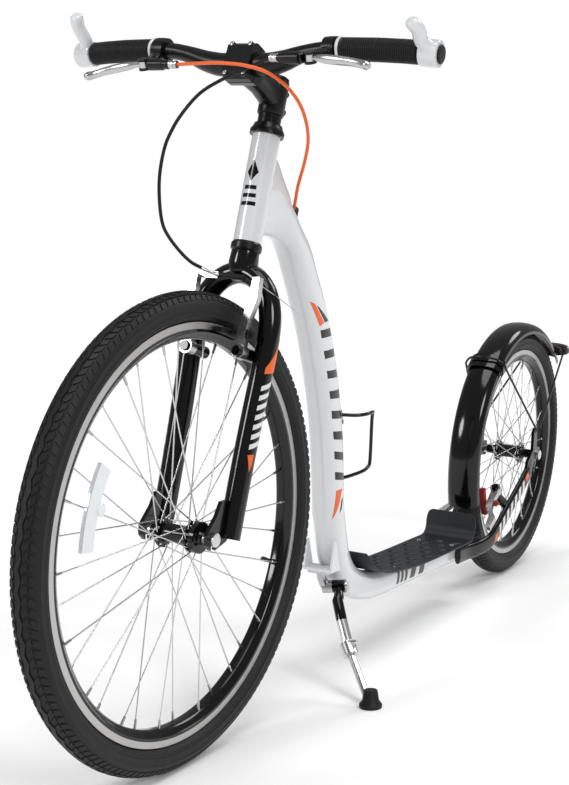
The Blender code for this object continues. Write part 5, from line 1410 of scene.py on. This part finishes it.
def make_materials():
    return {
        "white": surface("gloss_white_paint", (0.66, 0.675, 0.69), 0.20, coat=0.8, vary=0.012, spread=0.03,
                         grain=(260.0, 0.02)),
        "black": surface("gloss_black_paint", (0.0018, 0.0018, 0.0020), 0.12, coat=0.12, vary=0.12, spread=0.03,
                         grain=(320.0, 0.02), level=0.32),
        "satin": surface("satin_black_finish", (0.0035, 0.0035, 0.0038), 0.30, vary=0.15, spread=0.05,
                         grain=(1500.0, 0.06), level=0.30),
        "deck": surface("dark_grey_plastic", (0.010, 0.0115, 0.014), 0.45, vary=0.12,
                        grain=(1300.0, 0.25), level=0.35),
        "rubber": surface("black_rubber", (0.0045, 0.0045, 0.0045), 0.50, vary=0.15,
                          grain=(1400.0, 0.20), level=0.30),
        "tyre": surface("tyre_rubber", (0.0055, 0.0055, 0.0055), 0.52, vary=0.18, spread=0.06,
                        grain=(1100.0, 0.25), level=0.30),
        "track": brushed_rings("machined_rim", (0.50, 0.49, 0.48), 0.34, 0.0006),
        "steel": surface("spoke_steel", (0.62, 0.62, 0.63), 0.26, 1.0, vary=0.06, spread=0.05),
        "silver": surface("polished_aluminium", (0.52, 0.52, 0.53), 0.27, 1.0, vary=0.05, spread=0.06,
                          grain=(700.0, 0.05)),
        "orange": surface("orange_plastic", (0.80, 0.12, 0.012), 0.38, vary=0.08),
        "pad": surface("red_rubber", (0.30, 0.016, 0.016), 0.55, vary=0.12, grain=(1200.0, 0.2)),
        "clear": surface("clear_reflector", (0.72, 0.74, 0.76), 0.12, coat=1.0, vary=0.08, spread=0.03,
                         grain=(700.0, 0.35)),
        "reflector": surface("dark_reflector", (0.020, 0.012, 0.012), 0.18, coat=0.8, vary=0.15, spread=0.04,
                             grain=(600.0, 0.3)),
    }


def build():
    mats = make_materials()
    make_hubs()
    make_main_frame(mats["white"])
    make_grommet(mats["rubber"])
    make_headset(mats["satin"])
    make_deck(mats["deck"], mats["steel"])
    make_rear_stays(mats["black"])
    make_stand_bracket(mats["white"])
    make_stand_mount(mats["silver"])
    make_stand(mats["black"], mats["steel"], mats["rubber"])
    make_bottle_cage(mats["black"])
    make_mudguard(mats["black"])
    make_mudguard_bridge(mats["black"])
    make_mudguard_stays(mats["black"])
    make_rear_reflector(mats["reflector"])
    make_wheel("front", AXLE_FRONT, FRONT_R, front_hub_profile(), mats)
    make_wheel("rear", AXLE_REAR, REAR_R, rear_hub_profile(), mats)
    make_wheel_reflector(mats["clear"])
    make_axle("front_axle", AXLE_FRONT, "steering", 0.0420, (0.0500, 0.0560), mats["steel"])
    make_axle("rear_axle", AXLE_REAR, "scooter", 0.0468, (0.0545, 0.0605), mats["steel"])
    make_fork(mats["black"])
    make_brakes(mats)
    make_noodles(mats)
    make_handlebar(mats["satin"])
    make_grips(mats)
    make_stem(mats)
    for side, word in SIDES:
        make_lever_mount(side, word, mats["satin"], mats["silver"])
        make_lever(side, word, mats["silver"])
    make_cables(mats)
    make_marks(mats)


# ---- studio ----
CAMERA_PLACE = Vector((2.3667, 1.1042, 0.7890))
CAMERA_FORWARD = Vector((-0.8879, -0.4340, -0.1523)).normalized()
CAMERA_RIGHT = Vector((-0.4390, 0.8980, 0.0)).normalized()
CAMERA_LENS = 73.16
CAMERA_SHIFT = (-0.0920, 0.0486)
# Where each broad soft light comes from, how wide it looks in degrees, and its strength.
SOFT_LIGHTS = [((0.10, 0.15, 1.0), 40.0, 1.55), ((0.55, 1.0, 0.75), 18.0, 0.95), ((1.0, -0.75, 0.55), 14.0, 0.80),
               ((-0.9, 0.5, 0.8), 20.0, 0.6)]
SKY_SEEN = 1.0        # brightness of the backdrop
SKY_LIGHT = 0.30      # brightness of what it casts
FLOOR_SIZE = 30.0
FLOOR_DROP = 0.0008   # keeps the floor just clear of the tyres and the stand's foot


def make_camera():
    data = bpy.data.cameras.new("camera")
    data.lens = CAMERA_LENS
    data.sensor_width = 36.0
    data.sensor_fit = "AUTO"
    data.shift_x, data.shift_y = CAMERA_SHIFT
    obj = link(bpy.data.objects.new("camera", data))
    up = CAMERA_RIGHT.cross(CAMERA_FORWARD).normalized()
    turn = Matrix((CAMERA_RIGHT, up, -CAMERA_FORWARD)).transposed().to_4x4()
    obj.matrix_world = Matrix.Translation(CAMERA_PLACE) @ turn
    bpy.context.scene.camera = obj


def make_lights():
    for number, (place, width, strength) in enumerate(SOFT_LIGHTS):
        data = bpy.data.lights.new("soft_light_%d" % number, "SUN")
        data.angle = math.radians(width)
        data.energy = strength
        obj = link(bpy.data.objects.new(data.name, data))
        obj.location = Vector(place) * 3.0
        obj.rotation_euler = (-Vector(place)).to_track_quat("-Z", "Y").to_euler()
    world = bpy.data.worlds.new("studio")
    world.use_nodes = True
    tree = world.node_tree
    background = tree.nodes["Background"]
    background.inputs["Color"].default_value = (1.0, 1.0, 1.0, 1.0)
    path = tree.nodes.new("ShaderNodeLightPath")
    tree.links.new(ramp(tree, path.outputs["Is Camera Ray"], SKY_LIGHT, SKY_SEEN), background.inputs["Strength"])
    bpy.context.scene.world = world
    bpy.context.scene.view_settings.view_transform = "Standard"


def make_floor():
    bm = bmesh.new()
    bmesh.ops.create_grid(bm, x_segments=1, y_segments=1, size=FLOOR_SIZE)
    mesh = write_mesh(bm, "floor")
    obj = link(bpy.data.objects.new("floor", mesh))
    obj.location = (0.0, 0.0, -FLOOR_DROP)
    mesh.materials.append(surface("pale_floor", (0.95, 0.95, 0.95), 0.70, vary=0.01))


build()
make_camera()
make_lights()
make_floor()
